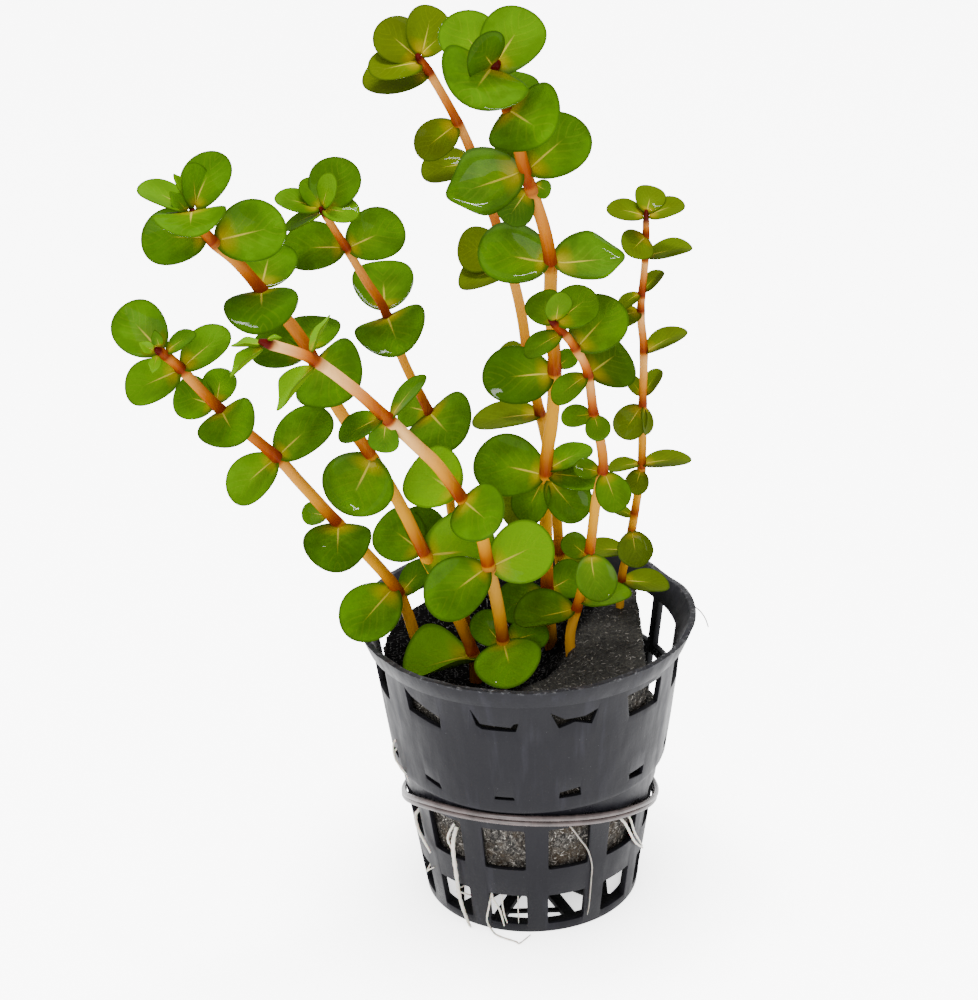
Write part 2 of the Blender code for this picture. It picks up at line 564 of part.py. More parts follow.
def make_shoot(shoot):
    points = smooth_route(shoot.route, 1)
    foot = Vector((points[0].x, points[0].y, STEM_FOOT))
    points = [foot] + points
    count = len(points)
    radii = []
    for number in range(count):
        share = number / (count - 1)
        radii.append(STEM_RADII[1] + (STEM_RADII[2] - STEM_RADII[1]) * share ** 2)
    radii[0] = STEM_RADII[0]
    stem = tube(shoot.name, [point * MM for point in points], radii, 1)
    for leaf in shoot.leaves:
        combine(stem, make_leaf(leaf, point_at_height(points, leaf.height)), "UNION")
    finish(stem, shoot.color, 0.35)


def make_root(name, route):
    spots = [on_wall(angle, height, outside) for angle, height, outside in route]
    points = smooth_route(spots, 2)
    radii = [ROOT_RADIUS] * len(points)
    radii[-1] = ROOT_RADIUS * 0.6
    root = tube(name, points, radii, 1)
    finish(root, (0.8, 0.78, 0.7, 1), 0.5, 60)


clear_scene()
PARTS = collection("potted dwarf rotala")
CUTTERS = collection("cutters")
make_pot()
make_wool()
make_band()
for each in SHOOTS:
    make_shoot(each)
for root_name, root_route in ROOTS:
    make_root(root_name, root_route)
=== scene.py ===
"""Potted dwarf rotala: finishes the net pot, rock wool, rubber band, leafy shoots and roots."""

from collections import namedtuple
from math import cos, pi, radians, sin

import bpy
import numpy as np
from bpy.props import FloatProperty, FloatVectorProperty, IntProperty, PointerProperty
from mathutils import Matrix, Vector


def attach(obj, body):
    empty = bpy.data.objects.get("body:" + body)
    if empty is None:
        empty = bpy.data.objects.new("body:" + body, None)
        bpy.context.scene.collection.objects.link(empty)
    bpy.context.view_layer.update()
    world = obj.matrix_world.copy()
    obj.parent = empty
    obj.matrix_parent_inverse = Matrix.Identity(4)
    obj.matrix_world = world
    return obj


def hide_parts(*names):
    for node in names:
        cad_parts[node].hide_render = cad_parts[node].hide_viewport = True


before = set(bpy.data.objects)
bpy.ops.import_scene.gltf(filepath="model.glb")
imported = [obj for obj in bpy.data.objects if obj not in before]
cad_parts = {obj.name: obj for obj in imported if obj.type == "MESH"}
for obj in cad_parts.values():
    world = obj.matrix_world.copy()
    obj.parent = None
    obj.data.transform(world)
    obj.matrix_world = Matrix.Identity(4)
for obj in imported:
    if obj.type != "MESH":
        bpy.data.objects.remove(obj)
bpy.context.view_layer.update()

bl_info = {
    "name": "Potted Dwarf Rotala",
    "version": (1, 0, 0),
    "blender": (4, 5, 0),
    "location": "View3D > Sidebar > Rotala",
    "description": "Builds a potted dwarf rotala in a net pot with rock wool, band and roots",
    "category": "Add Mesh",
}

MM = 0.001
BODY = "root"

# The pot, in millimetres: the wall's profile as the solids have it
RIM_RADIUS = 27.5
POT_HEIGHT = 50.0
BASE_RADIUS = 17.8
BASE_RING = 15.9
WALL = 0.9
FLOOR = 1.5
SHOULDER = 25.6
UNDER_SHOULDER_RADIUS = 21.7
OVER_SHOULDER_RADIUS = 22.6
UNDER_LIP_RADIUS = 25.3
LIP_HEIGHT = 3.9
LIP_STEP = 0.8
LOWER_BULGE = (1.98, 13.0)
UPPER_WALL = ((23.5, 32.5), (24.4, 39.3))
POT_STEPS = 180
POT_BEVEL = 0.13
POT_BEVEL_ANGLE = 32

# Windows: a row is its lower edge, upper edge and width in degrees
WINDOW_DEPTH = 6.0
WINDOW_ROUNDING = 0.35
FRONT_ROUNDING = 0.12
COLUMNS = 12
FIRST_WINDOW = 16.5
PITCH = 360 / COLUMNS
BOTTOM_ROW = (1.6, 7.7, 19.5)
LOWER_ROW = (13.1, 21.3, 19.5)
UPPER_ROW = (29.0, 36.4, 19.5)
SIDE_TOP_ROW = (40.0, 45.6, 17.0)
SIDE_SLOT = (27.9, 29.4, 10.0)
BACK_TOP_ROW = (38.0, 46.0)
BACK_TOP_WINDOWS = ((103.7, 20.0), (131.3, 25.0), (161.3, 25.0),
                    (-168.7, 25.0), (-138.7, 25.0), (-108.7, 25.0))
SIDE_COLUMNS = (-73.5, 76.5)
BACK_COLUMNS = (106.5, 136.5, 166.5, -163.5, -133.5, -103.5)

# Where the smooth front panel closes the upper rows, only these outlines stay open.
# Each is a column and its outline, across the wall and up, from the column's middle at the given height.
FRONT_OPENINGS = (
    (-43.5, 43.0, ((-3.4, 2.2), (-3.0, -1.8), (3.6, -3.0), (3.7, -0.9), (-1.2, 0.9), (-2.0, 1.2))),
    (-13.5, 43.2, ((-3.8, 2.1), (-2.9, -1.0), (-2.0, -1.6), (3.4, -1.7), (3.9, -0.1), (3.2, -0.2),
                   (2.6, -0.9), (-2.2, -0.6))),
    (16.5, 43.2, ((-4.2, 1.7), (-2.8, -1.4), (-0.2, -0.5), (2.6, -1.5), (3.6, 1.2), (1.4, 0.3),
                  (-1.8, 0.2))),
    (46.5, 42.6, ((-4.1, 2.3), (-3.2, -2.0), (3.9, -2.3), (4.2, 2.4))),
    (-43.5, 28.4, ((-1.6, 0.9), (-1.4, 0.0), (1.9, -0.9), (1.5, 0.2))),
    (-13.5, 28.4, ((-0.6, 0.3), (-0.7, -0.3), (2.6, -0.3), (2.4, 0.3))),
    (16.5, 28.9, ((-2.3, 0.4), (-2.4, -0.8), (1.3, -0.8), (1.1, 0.9))),
    (46.5, 28.2, ((-1.5, 0.6), (-1.3, -0.5), (2.0, -0.9), (2.2, 0.8))),
)

# How the rim and the wall depart from round: how often and where each wave goes around, how far the
# waves move the rim and the wall, the dent in the rim by its angle, its width and its depth, and how far
# the waves and the dent sink the rim
RIM_WAVES = ((7, 0.4), (17, 1.9), (31, 3.0), (53, 0.9), (71, 2.2))
RIM_ROUGHNESS = 0.03
WALL_ROUGHNESS = 0.05
RIM_DENT = (118, 9, 0.5)
RIM_SINK = (0.07, 0.35)

# The floor: a hub, spokes at these degrees and thin bars across, at these degrees
HUB_RADIUS = 4.5
SPOKE_ANGLES = (-47.0, -22.5, 22.5, 52.0, 128.0, 157.5, -157.5, -133.0)
SPOKE_WIDTH = 1.9
SPOKE_HEIGHT = 1.0
SPOKE_INTO_HUB = 1.5
SPOKE_INTO_RING = 0.6
SPOKE_SINK = 0.1
BAR_ANGLES = (0, 90, 180, 270)
BAR_DISTANCE = 12.0
BAR_LENGTHS = (10.2, 18.4, 10.2, 22.0)
BAR_WIDTH = 0.9
BAR_HEIGHT = 0.55
BAR_SINK = 0.12

# The rock wool plug, with the size and strength of its lumps
WOOL_BOTTOM = 6.3
WOOL_MIDDLE_HEIGHT = 45.5
WOOL_SLOPE = 3.5
WOOL_FLAT = 18.9
WOOL_FLAT_BOTTOM = 31.0
WOOL_GAP = 0.45
HOLLOW_MIDDLE = (-6.4, -1.0, 48.5)
HOLLOW_RADII = (14.6, 18.0, 9.5)
WOOL_VOXEL = 0.55
WOOL_STEPS = 72
WOOL_CORE = 1.0
WOOL_LUMPS = ((3.2, 0.7), (0.9, 0.55))
LUMP_LEVEL = 0.72

# Its fibres: the ranges of their length, radius and rise, and how far they start off the surface
FIBRE_SEED = 7
FIBRE_LENGTHS = (0.25, 0.8)
FIBRE_RADII = (0.035, 0.075)
FIBRE_RISES = (-0.1, 0.35)
FIBRE_LIFT = 0.04

# The rubber band, with its height every 45 degrees from the front to the right and around the back
BAND_STRAND = 0.92
BAND_SPREAD = 0.52
BAND_STEPS = 96
BAND_LIFT = 1.35
BAND_UNEVEN = 0.05
BAND_GAP = 0.12
BAND_HEIGHTS = (23.8, 20.8, 15.9, 13.9, 13.5, 14.2, 17.3, 23.0)

# Stems and leaves, in millimetres and degrees. A leaf's wave, groove and rim are shares of its length, and
# a range is what chance multiplies a form's value by, or adds to its twist and tint.
STEM_FOOT = 36.7
STEM_STEPS = 8
SHOOT_SEED = 100
STEM_TAPER = 0.3
NODE_SWELL = 0.12
NODE_REACH = 1.0
NODE_MARK = 0.5
NODE_DISTANCE = 2.5
BUD_END = 0.6
LEAF_SEGMENTS = 40
LEAF_RINGS = 26
FACE_UP = 25.0
LEAF_THICKNESS = 0.4
LEAF_WAVE = 0.009
LEAF_GROOVE = (0.008, 0.05)
LEAF_OFF_STEM = 0.75
RIM_POWER = 6
WET_RIM = 0.05
CUP_RANGE = (0.7, 1.3)
CURL_RANGE = (0.6, 1.4)
TWIST_RANGE = (-0.1, 0.1)
TINT_RANGE = (-0.4, 0.4)

Form = namedtuple("Form", "width cup curl point rim lobe tint")
Leaf = namedtuple("Leaf", "height turn lean roll length form", defaults=("plain",))
Shoot = namedtuple("Shoot", "name slot olive pink radius route leaves bud", defaults=(0.8,))
Root = namedtuple("Root", "name strands")

# How a leaf departs from a flat disc: its width to its length, its raised sides, its tip bent back,
# how pointed it is, its upturned rim, its lobes around the stem and how much lighter or darker it is,
# partly its own colour and partly painted light and shade
FORMS = {
    "plain": Form(0.96, 0.08, 0.08, 0.0, 0.01, 0.07, 0.0),
    "light": Form(0.96, 0.08, 0.08, 0.0, 0.015, 0.07, 0.45),
    "shade": Form(0.96, 0.08, 0.08, 0.0, 0.01, 0.07, -0.4),
    "dark": Form(0.96, 0.06, 0.1, 0.0, 0.01, 0.07, -0.7),
    "glint": Form(0.96, 0.12, -0.06, 0.0, 0.09, 0.07, 0.0),
    "saddle": Form(1.2, 0.1, 0.26, 0.0, 0.0, 0.14, -0.2),
    "kidney": Form(1.22, 0.1, 0.28, 0.0, 0.0, 0.14, 0.25),
    "bright": Form(0.96, 0.08, 0.08, 0.0, 0.015, 0.07, 0.9),
    "broad": Form(1.14, 0.12, -0.06, 0.0, 0.09, 0.1, 0.0),
    "hood": Form(1.0, 0.1, 0.2, 0.0, 0.0, 0.04, -0.6),
    "shield": Form(1.22, 0.1, 0.28, 0.0, 0.0, 0.14, 0.8),
    "cupped": Form(0.96, 0.3, -0.1, 0.0, 0.04, 0.05, 0.1),
    "pointed": Form(0.92, 0.1, 0.04, 0.5, 0.07, 0.05, 0.0),
    "thin": Form(0.62, 0.35, 0.1, 0.6, 0.0, 0.0, 0.5),
    "folded": Form(0.85, 0.5, 0.1, 0.1, 0.02, 0.05, 0.3),
    "heart": Form(1.08, 0.05, 0.05, 0.0, 0.01, 0.22, -0.05),
    "clip": Form(0.96, 0.05, -0.1, 0.1, 0.1, 0.05, 0.1),
    "pale": Form(0.7, 0.3, 0.05, 0.6, 0.0, 0.0, 1.0),
}

# A shoot is its name, its slot, how olive its leaves and how pink its stem are, the stem's radius and
# route, its leaves and how thick its bud is. A leaf joins its stem at a height above the floor. Seen from
# the front and above, turn is where its tip points (0 right, 90 up), lean brings the tip forward, roll
# tips the face up, and length is base to tip. Its form follows, unless it is plain.
SHOOTS = (
    Shoot("shoot_far_left", "green_leaf", 0.0, 0.15, 0.95, (
        (-18, 2, 44), (-20.5, -1, 54.5), (-25.5, -5, 64), (-29.5, -7.5, 70.5), (-34.5, -11, 79),
        (-37.5, -13, 84), (-45, -17.5, 94), (-50.5, -21.5, 103), (-53, -24, 106.5),
    ), (
        (55.8, -134, 18, 24, 11.2), (54, 50, 0, 45, 7.0, "dark"), (70, -90, 60, 0, 9.4, "saddle"),
        (72, 170, -5, 0, 4.5), (84, 42, 0, 35, 10.5), (84, -143, 0, 35, 9.5),
        (94, -58, 58, 0, 8.4, "saddle"), (95, 160, -20, 0, 7.5), (95, 82, -15, 0, 6.0),
        (102, 40, 0, 40, 9.0), (102, -160, 0, 30, 9.0), (105, 38, 0, 50, 5.5),
        (106, -105, 20, 0, 3.6, "thin"), (105.6, 131, 0, 0, 9.0, "shade"),
        (106.4, 100, 45, 0, 3.2, "thin"), (106.4, 150, 45, 0, 3.0, "thin"),
    )),
    Shoot("shoot_upper_left", "green_leaf", 0.0, 0.15, 1.02, (
        (-8.5, -3, 43), (-10.5, -4.5, 50), (-16, -8, 65), (-19.5, -10.5, 75), (-23.5, -12.5, 84),
        (-28, -15.5, 93.5), (-32, -18, 104.5), (-37.5, -21, 114), (-40.5, -23, 119), (-44, -24, 123),
        (-46, -26, 128),
    ), (
        (44, -174, 32, 54, 12.6, "folded"), (64, 4, -8, 0, 11.6, "shield"), (65, 90, -20, 20, 8.0),
        (65, 142, -25, 0, 10.0), (83, -117, 20, 0, 10.4, "broad"), (101, -42, 61, 0, 10.5, "saddle"),
        (103, 85, -50, 0, 9.5), (103, 168, -10, 25, 9.0), (114, -83, 64, 0, 9.6, "saddle"),
        (114, 80, -35, 0, 10.0), (122, 13, 0, 10, 10.4, "shade"), (123.4, 177, 0, 12, 9.6),
        (128, -83, 70, 0, 9.0, "kidney"), (128, 66, 0, 25, 9.0), (128, 88, 20, 55, 6.5, "light"),
        (128, 150, 0, 58, 8.2), (128.5, 112, 30, 60, 5.5, "thin"), (128.5, 130, 40, 0, 4.0, "thin"),
    )),
    Shoot("shoot_middle_left", "green_leaf", 0.05, 0.2, 0.78, (
        (-10, 10, 43), (-11.5, 6, 64), (-13, 2.5, 79.5), (-14.5, 1, 85), (-18, -1.5, 94.5),
        (-20.5, -4, 104), (-23, -6, 109.5), (-26, -7.5, 116), (-29, -10, 122.5),
    ), (
        (85, -50, 65, 0, 10.4, "saddle"), (85, 163, -45, 0, 7.5), (103, -70, 65, 0, 9.6, "saddle"),
        (104, 93, -35, 0, 10.5), (115, 24, 0, 12, 9.2), (115.5, 178, 0, 22, 9.4),
        (121.8, -160, 0, 60, 6.2), (122, -10, 15, 40, 5.8), (122, 66, 0, 10, 8.5), (122, 115, 0, 35, 5.5),
        (122.5, 160, 10, 50, 6.8), (122.6, 70, 30, 50, 5.5, "light"),
    )),
    Shoot("shoot_front", "green_leaf", 0.0, 0.85, 1.02, (
        (-3.5, -6, 43.5), (-4.5, -9.5, 55), (-6, -12.5, 65), (-7.5, -15, 73), (-12.5, -19.5, 84),
        (-16, -21.5, 89), (-20.5, -24, 95), (-25, -27, 101), (-30.5, -30.5, 107), (-37, -34, 111),
    ), (
        (48.4, -76, 58, 0, 9.8, "shield"), (48, 17, 0, 35, 7.5), (48, 129, 0, 5, 6.5),
        (64, -146, 5, 28, 11.5, "light"), (64, 24, 0, 0, 10.8, "bright"), (78, -42, 54, 0, 8.6, "kidney"),
        (79, 145, -38, 0, 11.5, "bright"), (94, 55, 0, 70, 8.5), (94, -100, -30, 0, 5.5),
        (95, -157, 0, 50, 7.5), (106, -134, 0, 62, 9.0, "pale"), (107, 65, 0, 70, 6.8, "pale"),
        (110.5, -144, 0, 65, 7.0, "pale"), (110.5, 178, 0, 68, 5.0, "pale"),
        (110.6, 10, 0, 60, 2.6, "thin"),
    )),
    Shoot("shoot_tall_behind", "olive_leaf", 0.7, 0.25, 0.85, (
        (6.5, 12.5, 43), (6, 12, 53), (5, 8.5, 69.5), (3.5, 6.5, 79.5), (1.5, 4, 90.5), (0.5, 2, 99.5),
        (-0.5, 0.5, 105.5), (-2, -1, 112), (-6, -5, 127), (-8.5, -7, 134), (-12, -9, 141.5),
        (-14, -10, 145),
    ), (
        (54, -42, 15, 0, 7.0), (69, -148, -20, 20, 11.0), (82, -177, 0, 60, 11.0), (91, 147, -20, 0, 6.0),
        (109, -167, 0, 48, 8.3), (112, 175, -20, 0, 8.0), (127.2, -174, 0, 38, 8.2),
        (133.6, -146, 0, 20, 7.5), (142, 180, 0, 42, 9.8), (144, -168, 22, 40, 8.0),
        (144.5, 138, 10, 10, 7.4), (144.5, 74, 0, 20, 7.8), (144.5, 43, 0, 30, 5.5),
    )),
    Shoot("shoot_tallest", "green_leaf", 0.05, 0.1, 1.03, (
        (4, 3, 43), (3.5, 1, 54), (3.5, -4.5, 76.5), (4.5, -7, 86), (5, -9.5, 95.5), (4.5, -13, 108),
        (4.5, -14.5, 114.5), (3.5, -16.5, 121), (1, -19.5, 130), (0, -20.5, 134.5), (-1.5, -22.5, 140.5),
        (-3.5, -25, 148),
    ), (
        (52, -165, 0, 20, 8.5), (53, 26, -20, 0, 7.5), (75, -52, 0, 20, 8.5, "glint"),
        (75, -120, 0, 30, 7.5), (76, -5, 0, 45, 8.5), (76, 165, 0, 20, 11.5), (77, 29, 0, 55, 8.0),
        (95, -178, 10, 22, 11.0, "dark"), (96, 40, 0, 15, 4.0), (114, 6, -8, 34, 11.2, "pointed"),
        (114.5, 168, 0, 12, 10.8, "glint"), (127.5, -25, -30, 0, 3.4, "dark"),
        (127, -128, -25, 0, 6.5, "dark"), (130, -164, 0, 12, 11.8, "pointed"),
        (130, 41, 0, 16, 11.0, "shade"), (131, 140, -36, 0, 6.5), (140, -42, 55, 0, 10.4, "saddle"),
        (140, 82, -40, 0, 9.5, "dark"), (147, -121, 58, 0, 11.0, "kidney"),
        (147, 55, 0, 10, 9.2, "heart"), (147, 129, 0, 12, 9.2, "light"), (147.4, 138, 72, 0, 7.8, "hood"),
    ), 1.5),
    Shoot("shoot_middle_right", "green_leaf", 0.15, 0.4, 0.82, (
        (7, -4, 43), (7, -5.5, 49), (9, -7.5, 58), (10, -9.5, 65), (11, -12, 75), (12, -13.5, 81),
        (11.5, -15, 86.5), (10.5, -16.5, 91.5), (9.5, -18.5, 99), (7, -20.5, 104.5), (4, -22, 108.5),
    ), (
        (53, -168, 0, 50, 10.0, "cupped"), (55, 11, 0, 60, 8.5), (64.4, -84, 8, 20, 7.9, "clip"),
        (64, 138, 0, 15, 5.0), (80, 165, 0, 35, 4.5), (80, -70, 0, 20, 6.5), (91, -78, 25, 0, 4.5),
        (91, -177, 0, 30, 5.0), (98, 36, -42, 0, 10.8, "dark"), (98, -147, 0, 45, 6.5),
        (103, 47, 0, 10, 9.5), (106, -155, 0, 50, 6.5), (107.5, 37, 0, 15, 7.5),
        (107.5, 118, -25, 0, 6.5), (108, 78, 35, 30, 5.0),
    )),
    Shoot("shoot_right", "olive_leaf", 0.65, 0.5, 0.68, (
        (15.5, 8, 43), (16, 7.5, 52), (17, 6.5, 57.5), (18.5, 4, 69), (19, 3, 74.5), (19, 0.5, 85.5),
        (19, -2, 95.5), (18.5, -3.5, 101), (18.5, -4.5, 105), (19, -6, 112), (19, -8, 120),
    ), (
        (51, -3, 0, 60, 8.0), (57, 174, 0, 65, 8.0), (61, -84, 12, 0, 6.4, "clip"), (64, 156, 0, 55, 4.0),
        (73, -110, 20, 0, 4.5), (74, -176, 0, 65, 5.5), (74, 8, 0, 65, 8.0), (85, -126, 0, 10, 6.0),
        (85, -80, 0, 60, 4.5), (87, 122, 0, 45, 4.0), (87, 60, 0, 55, 5.0), (95, 30, 0, 65, 7.5),
        (102.6, -166, 20, 42, 6.4), (106, 51, 0, 55, 4.5), (105.6, -150, 0, 50, 4.0),
        (112, 14, 0, 60, 7.2), (115.6, -135, 50, 0, 6.3), (119, 20, 0, 45, 6.0), (119, 163, 0, 45, 6.0),
        (119.5, 74, -30, 0, 5.5),
    )),
)

# Roots: each strand is its radius, how dark it is and its route. A place on the route is an angle around
# the pot, a height and how far it stands off the wall's outside.
ROOTS = (
    Root("root_front_left", (
        (0.34, 0.0, ((-38, 19.2, -0.8), (-38, 17.4, 0.4), (-38.5, 15.0, 0.75), (-39.3, 10.5, 0.6),
                     (-39.6, 6.0, 0.6), (-38.6, 3.0, 0.6), (-36.2, 0.7, 0.8), (-33, 0.3, 1.6))),
        (0.22, 0.0, ((-39.5, 19.6, -0.9), (-41.0, 18.0, 0.1), (-41.5, 16.5, 0.4), (-38.8, 14.6, 0.5))),
        (0.16, 0.2, ((-39.4, 6.4, 0.4), (-42.5, 5.6, 0.1), (-44.5, 4.6, -1.2))),
        (0.14, 0.2, ((-39.4, 6.2, 0.4), (-36.6, 5.9, 0.0), (-35.2, 4.8, -1.4))))),
    Root("root_right", (
        (0.24, 0.0, ((44, 19.6, -0.8), (46, 18.2, 0.3), (50, 15.6, 0.6), (56, 12.6, 0.6), (66, 9.4, 0.8))),
        (0.2, 0.0, ((50, 19.4, -0.8), (50.5, 18.0, 0.2), (53.6, 15.1, 0.6), (60, 12.2, 0.6),
                    (66, 9.8, 0.7))))),
    Root("root_far_left", (
        (0.3, 0.0, ((-69, 17.6, -0.8), (-68, 16.6, 0.3), (-64.5, 14.4, 0.6), (-57, 11.4, 0.5))),
        (0.15, 0.1, ((-70, 6.5, -0.8), (-70, 5.0, 0.3), (-63, 6.8, 0.5), (-59, 7.9, -0.4))))),
)
FINE_ROOTS = (
    (0.17, 0.1, ((-69, 32.0, -0.9), (-68.4, 31.0, 0.5), (-66.8, 28.6, 0.9), (-64.6, 26.8, 0.3),
                 (-64, 25.9, -0.2))),
    (0.13, 0.2, ((-70, 30.2, -0.9), (-70, 28.8, 0.5), (-67.6, 26.6, 0.3), (-65.5, 25.2, 0.6),
                 (-65, 24.0, 0.5))),
    (0.14, 0.65, ((15.5, 21.8, -0.6), (17.1, 21.1, 0.2), (21, 18.6, 0.3), (25.4, 15.8, 0.3),
                  (28.2, 12.4, 0.3), (28.5, 9.4, 0.3), (28.6, 4.1, 0.3), (28.0, 2.0, 0.3))),
    (0.2, 0.0, ((-22.5, 7.6, -0.9), (-21.0, 6.6, 0.1), (-17.7, 4.4, 0.25), (-16, 1.2, 0.3))),
    (0.16, 0.0, ((-16.5, 7.8, -0.9), (-16.8, 6.4, -0.4), (-16.2, 3.4, -0.3), (-14.6, 1.6, -0.1))),
    (0.16, 0.1, ((-22.3, 7.0, -0.4), (-23.6, 4.6, 0.1), (-25.3, 1.8, 0.3), (-22.5, 0.45, 0.9),
                 (-18, 0.3, 2.1), (-9, 0.25, 3.2), (-7, 0.25, 3.6), (-2.4, 0.25, 1.2))),
    (0.1, 0.1, ((-8.6, 7.6, -1.6), (-8.6, 5.4, -0.6), (-8.7, 3.0, -0.5), (-8.6, 1.6, -0.3))),
    (0.11, 0.55, ((-43, 7.9, -0.9), (-45, 7.0, -0.8), (-43.5, 5.9, -0.9), (-40, 6.6, -0.9),
                  (-38, 7.4, -1.2))),
)

# A dark hair that hangs over the rim at the right, in millimetres, and how roots and hair are drawn
HAIR = ((26.7, 0.7, 49.7), (27.4, 0.4, 49.6), (28.3, 0.1, 48.9), (29.1, 0.0, 47.6), (29.6, 0.2, 46.0))
HAIR_RADIUS = 0.09
ROUTE_STEPS = 6
ROOT_OFF_FLOOR = 0.02
ROOT_TAPER = 0.5
ROOT_UNEVEN = 0.14

# The camera stands where the photograph was taken from, in millimetres and degrees
CAMERA_PLACE = (-5.5, -367.5, 238.2)
CAMERA_PITCH = 24.6
CAMERA_ROLL = -1.68
CAMERA_LENS = 91.55
CAMERA_SENSOR = 36.0

# The studio, in metres: the floor, what the lights point at, and each light's place and size
FLOOR_SIZE = 4
FLOOR_DROP = 0.00005
# How far the floor's painted contact shadow reaches
SHADE_REACH = 0.03
LIGHT_AIM = (0, 0, 0.08)
LIGHTS = (
    ("near_strip", (-0.02, -0.02, 0.75), (0.3, 0.03)),
    ("far_strip", (-0.02, 0.05, 0.75), (0.3, 0.03)),
    ("front_light", (-0.25, -0.7, 0.5), (0.5, 0.5)),
)

# Colours that no setting changes. A pair runs from a plain stem to a pink one.
WHITE = (1, 1, 1, 1)
SCUFFED_PLASTIC = (0.2, 0.2, 0.21, 1)
# Near black for the pot's inside: painted shade
PAINTED_SHADE_PLASTIC = (0.004, 0.004, 0.0045, 1)
BROWN_WOOL = (0.07, 0.045, 0.02, 1)
PALE_GRAIN = (0.6, 0.57, 0.5, 1)
SOAKED_WOOL = (0.0025, 0.002, 0.0018, 1)
SOAKED_FIBRE = (0.075, 0.07, 0.056, 1)
SOAKED_GRAIN = (0.14, 0.13, 0.11, 1)
# Black for the wool's hollow: painted shade
PAINTED_SHADE_WOOL = (0.0025, 0.002, 0.002, 1)
BLACK_FIBRE = (0.006, 0.005, 0.004, 1)
DIRTY_ROOT = (0.35, 0.25, 0.14, 1)
DARK_ROOT = (0.06, 0.05, 0.045, 1)
SHADED_LEAF = (0.018, 0.055, 0.0006, 1)
OLIVE_LEAF = (0.07, 0.078, 0.001, 1)
LEAF_BASE = (0.4, 0.22, 0.001, 1)
LEAF_GLOW = (0.2, 0.3, 0.001, 1)
SIDE_VEIN = (0.3, 0.36, 0.02, 1)
MIDRIB = (0.5, 0.4, 0.05, 1)
LEAF_RIM = (0.012, 0.03, 0.001, 1)
LEAF_BACK = (0.06, 0.085, 0.002, 1)
STEM_MIDDLE = ((0.34, 0.075, 0.0001, 1), (0.5, 0.14, 0.012, 1))
STEM_PALE = ((0.5, 0.165, 0.0002, 1), (0.9, 0.52, 0.19, 1))
STEM_RED = (0.19, 0.023, 0.0003, 1)
STEM_OCHRE = (0.58, 0.28, 0.0006, 1)
STEM_BROWN = (0.1, 0.025, 0.004, 1)
STEM_STREAK = (0.5, 0.2, 0.002, 1)
STEM_NODE = (0.13, 0.015, 0.003, 1)
BUD_RED = (0.07, 0.004, 0.003, 1)


# Selecting and applying


def deselect_all():
    if bpy.context.object and bpy.context.object.mode != "OBJECT":
        bpy.ops.object.mode_set(mode="OBJECT")
    bpy.ops.object.select_all(action="DESELECT")


def activate(*items):
    deselect_all()
    for item in items:
        item.select_set(True)
    bpy.context.view_layer.objects.active = items[0]


def linked(name, data):
    item = bpy.data.objects.new(name, data)
    bpy.context.scene.collection.objects.link(item)
    return item


def named(name):
    item = bpy.context.object
    item.name = name
    item.data.name = name
    return item


def in_edit_mode(item, *steps):
    """Runs edit-mode steps on all of a piece's mesh."""
    activate(item)
    bpy.ops.object.mode_set(mode="EDIT")
    bpy.ops.mesh.select_all(action="SELECT")
    for step in steps:
        step()
    bpy.ops.object.mode_set(mode="OBJECT")


def clean(item, threshold=0.000002):
    """Merges a piece's doubled corners and turns its faces outwards."""
    in_edit_mode(item, lambda: bpy.ops.mesh.remove_doubles(threshold=threshold),
                 lambda: bpy.ops.mesh.normals_make_consistent(inside=False))


def apply_place(item):
    activate(item)
    bpy.ops.object.transform_apply(location=True, rotation=True, scale=True)


def primitive(name, add, **values):
    """Adds one of Blender's primitives at its size and place, with the place in its mesh."""
    deselect_all()
    add(**values)
    item = named(name)
    apply_place(item)
    return item


def apply_modifier(item, kind, **values):
    activate(item)
    modifier = item.modifiers.new(kind.lower(), kind)
    for key, value in values.items():
        setattr(modifier, key, value)
    bpy.ops.object.modifier_apply(modifier=modifier.name)


def join(items, name):
    activate(*items)
    if len(items) > 1:
        bpy.ops.object.join()
    return named(name)


def shade(item, angle):
    activate(item)
    bpy.ops.object.shade_smooth_by_angle(angle=radians(angle))


def corners(mesh):
    """The mesh's corners as an array."""
    places = np.empty(len(mesh.vertices) * 3, np.float32)
    mesh.vertices.foreach_get("co", places)
    return places.reshape(-1, 3).astype(float)


def set_corners(mesh, places):
    mesh.vertices.foreach_set("co", np.asarray(places, np.float32).ravel())
    mesh.update()


def set_attribute(mesh, name, *parts):
    """Writes up to three values to each corner, for a material to read."""
    values = np.zeros((len(mesh.vertices), 3), np.float32)
    for column, part in enumerate(parts):
        values[:, column] = part
    layer = mesh.attributes.get(name) or mesh.attributes.new(name, "FLOAT_VECTOR", "POINT")
    layer.data.foreach_set("vector", values.ravel())


def smoothstep(low, high, value):
    share = np.clip((value - low) / (high - low), 0, 1)
    return share * share * (3 - 2 * share)


def paint(mesh, material):
    mesh.materials.clear()
    mesh.materials.append(material)


def dress(item, slot, *replaced):
    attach(item, BODY)
    if replaced:
        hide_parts(*replaced)


# Materials


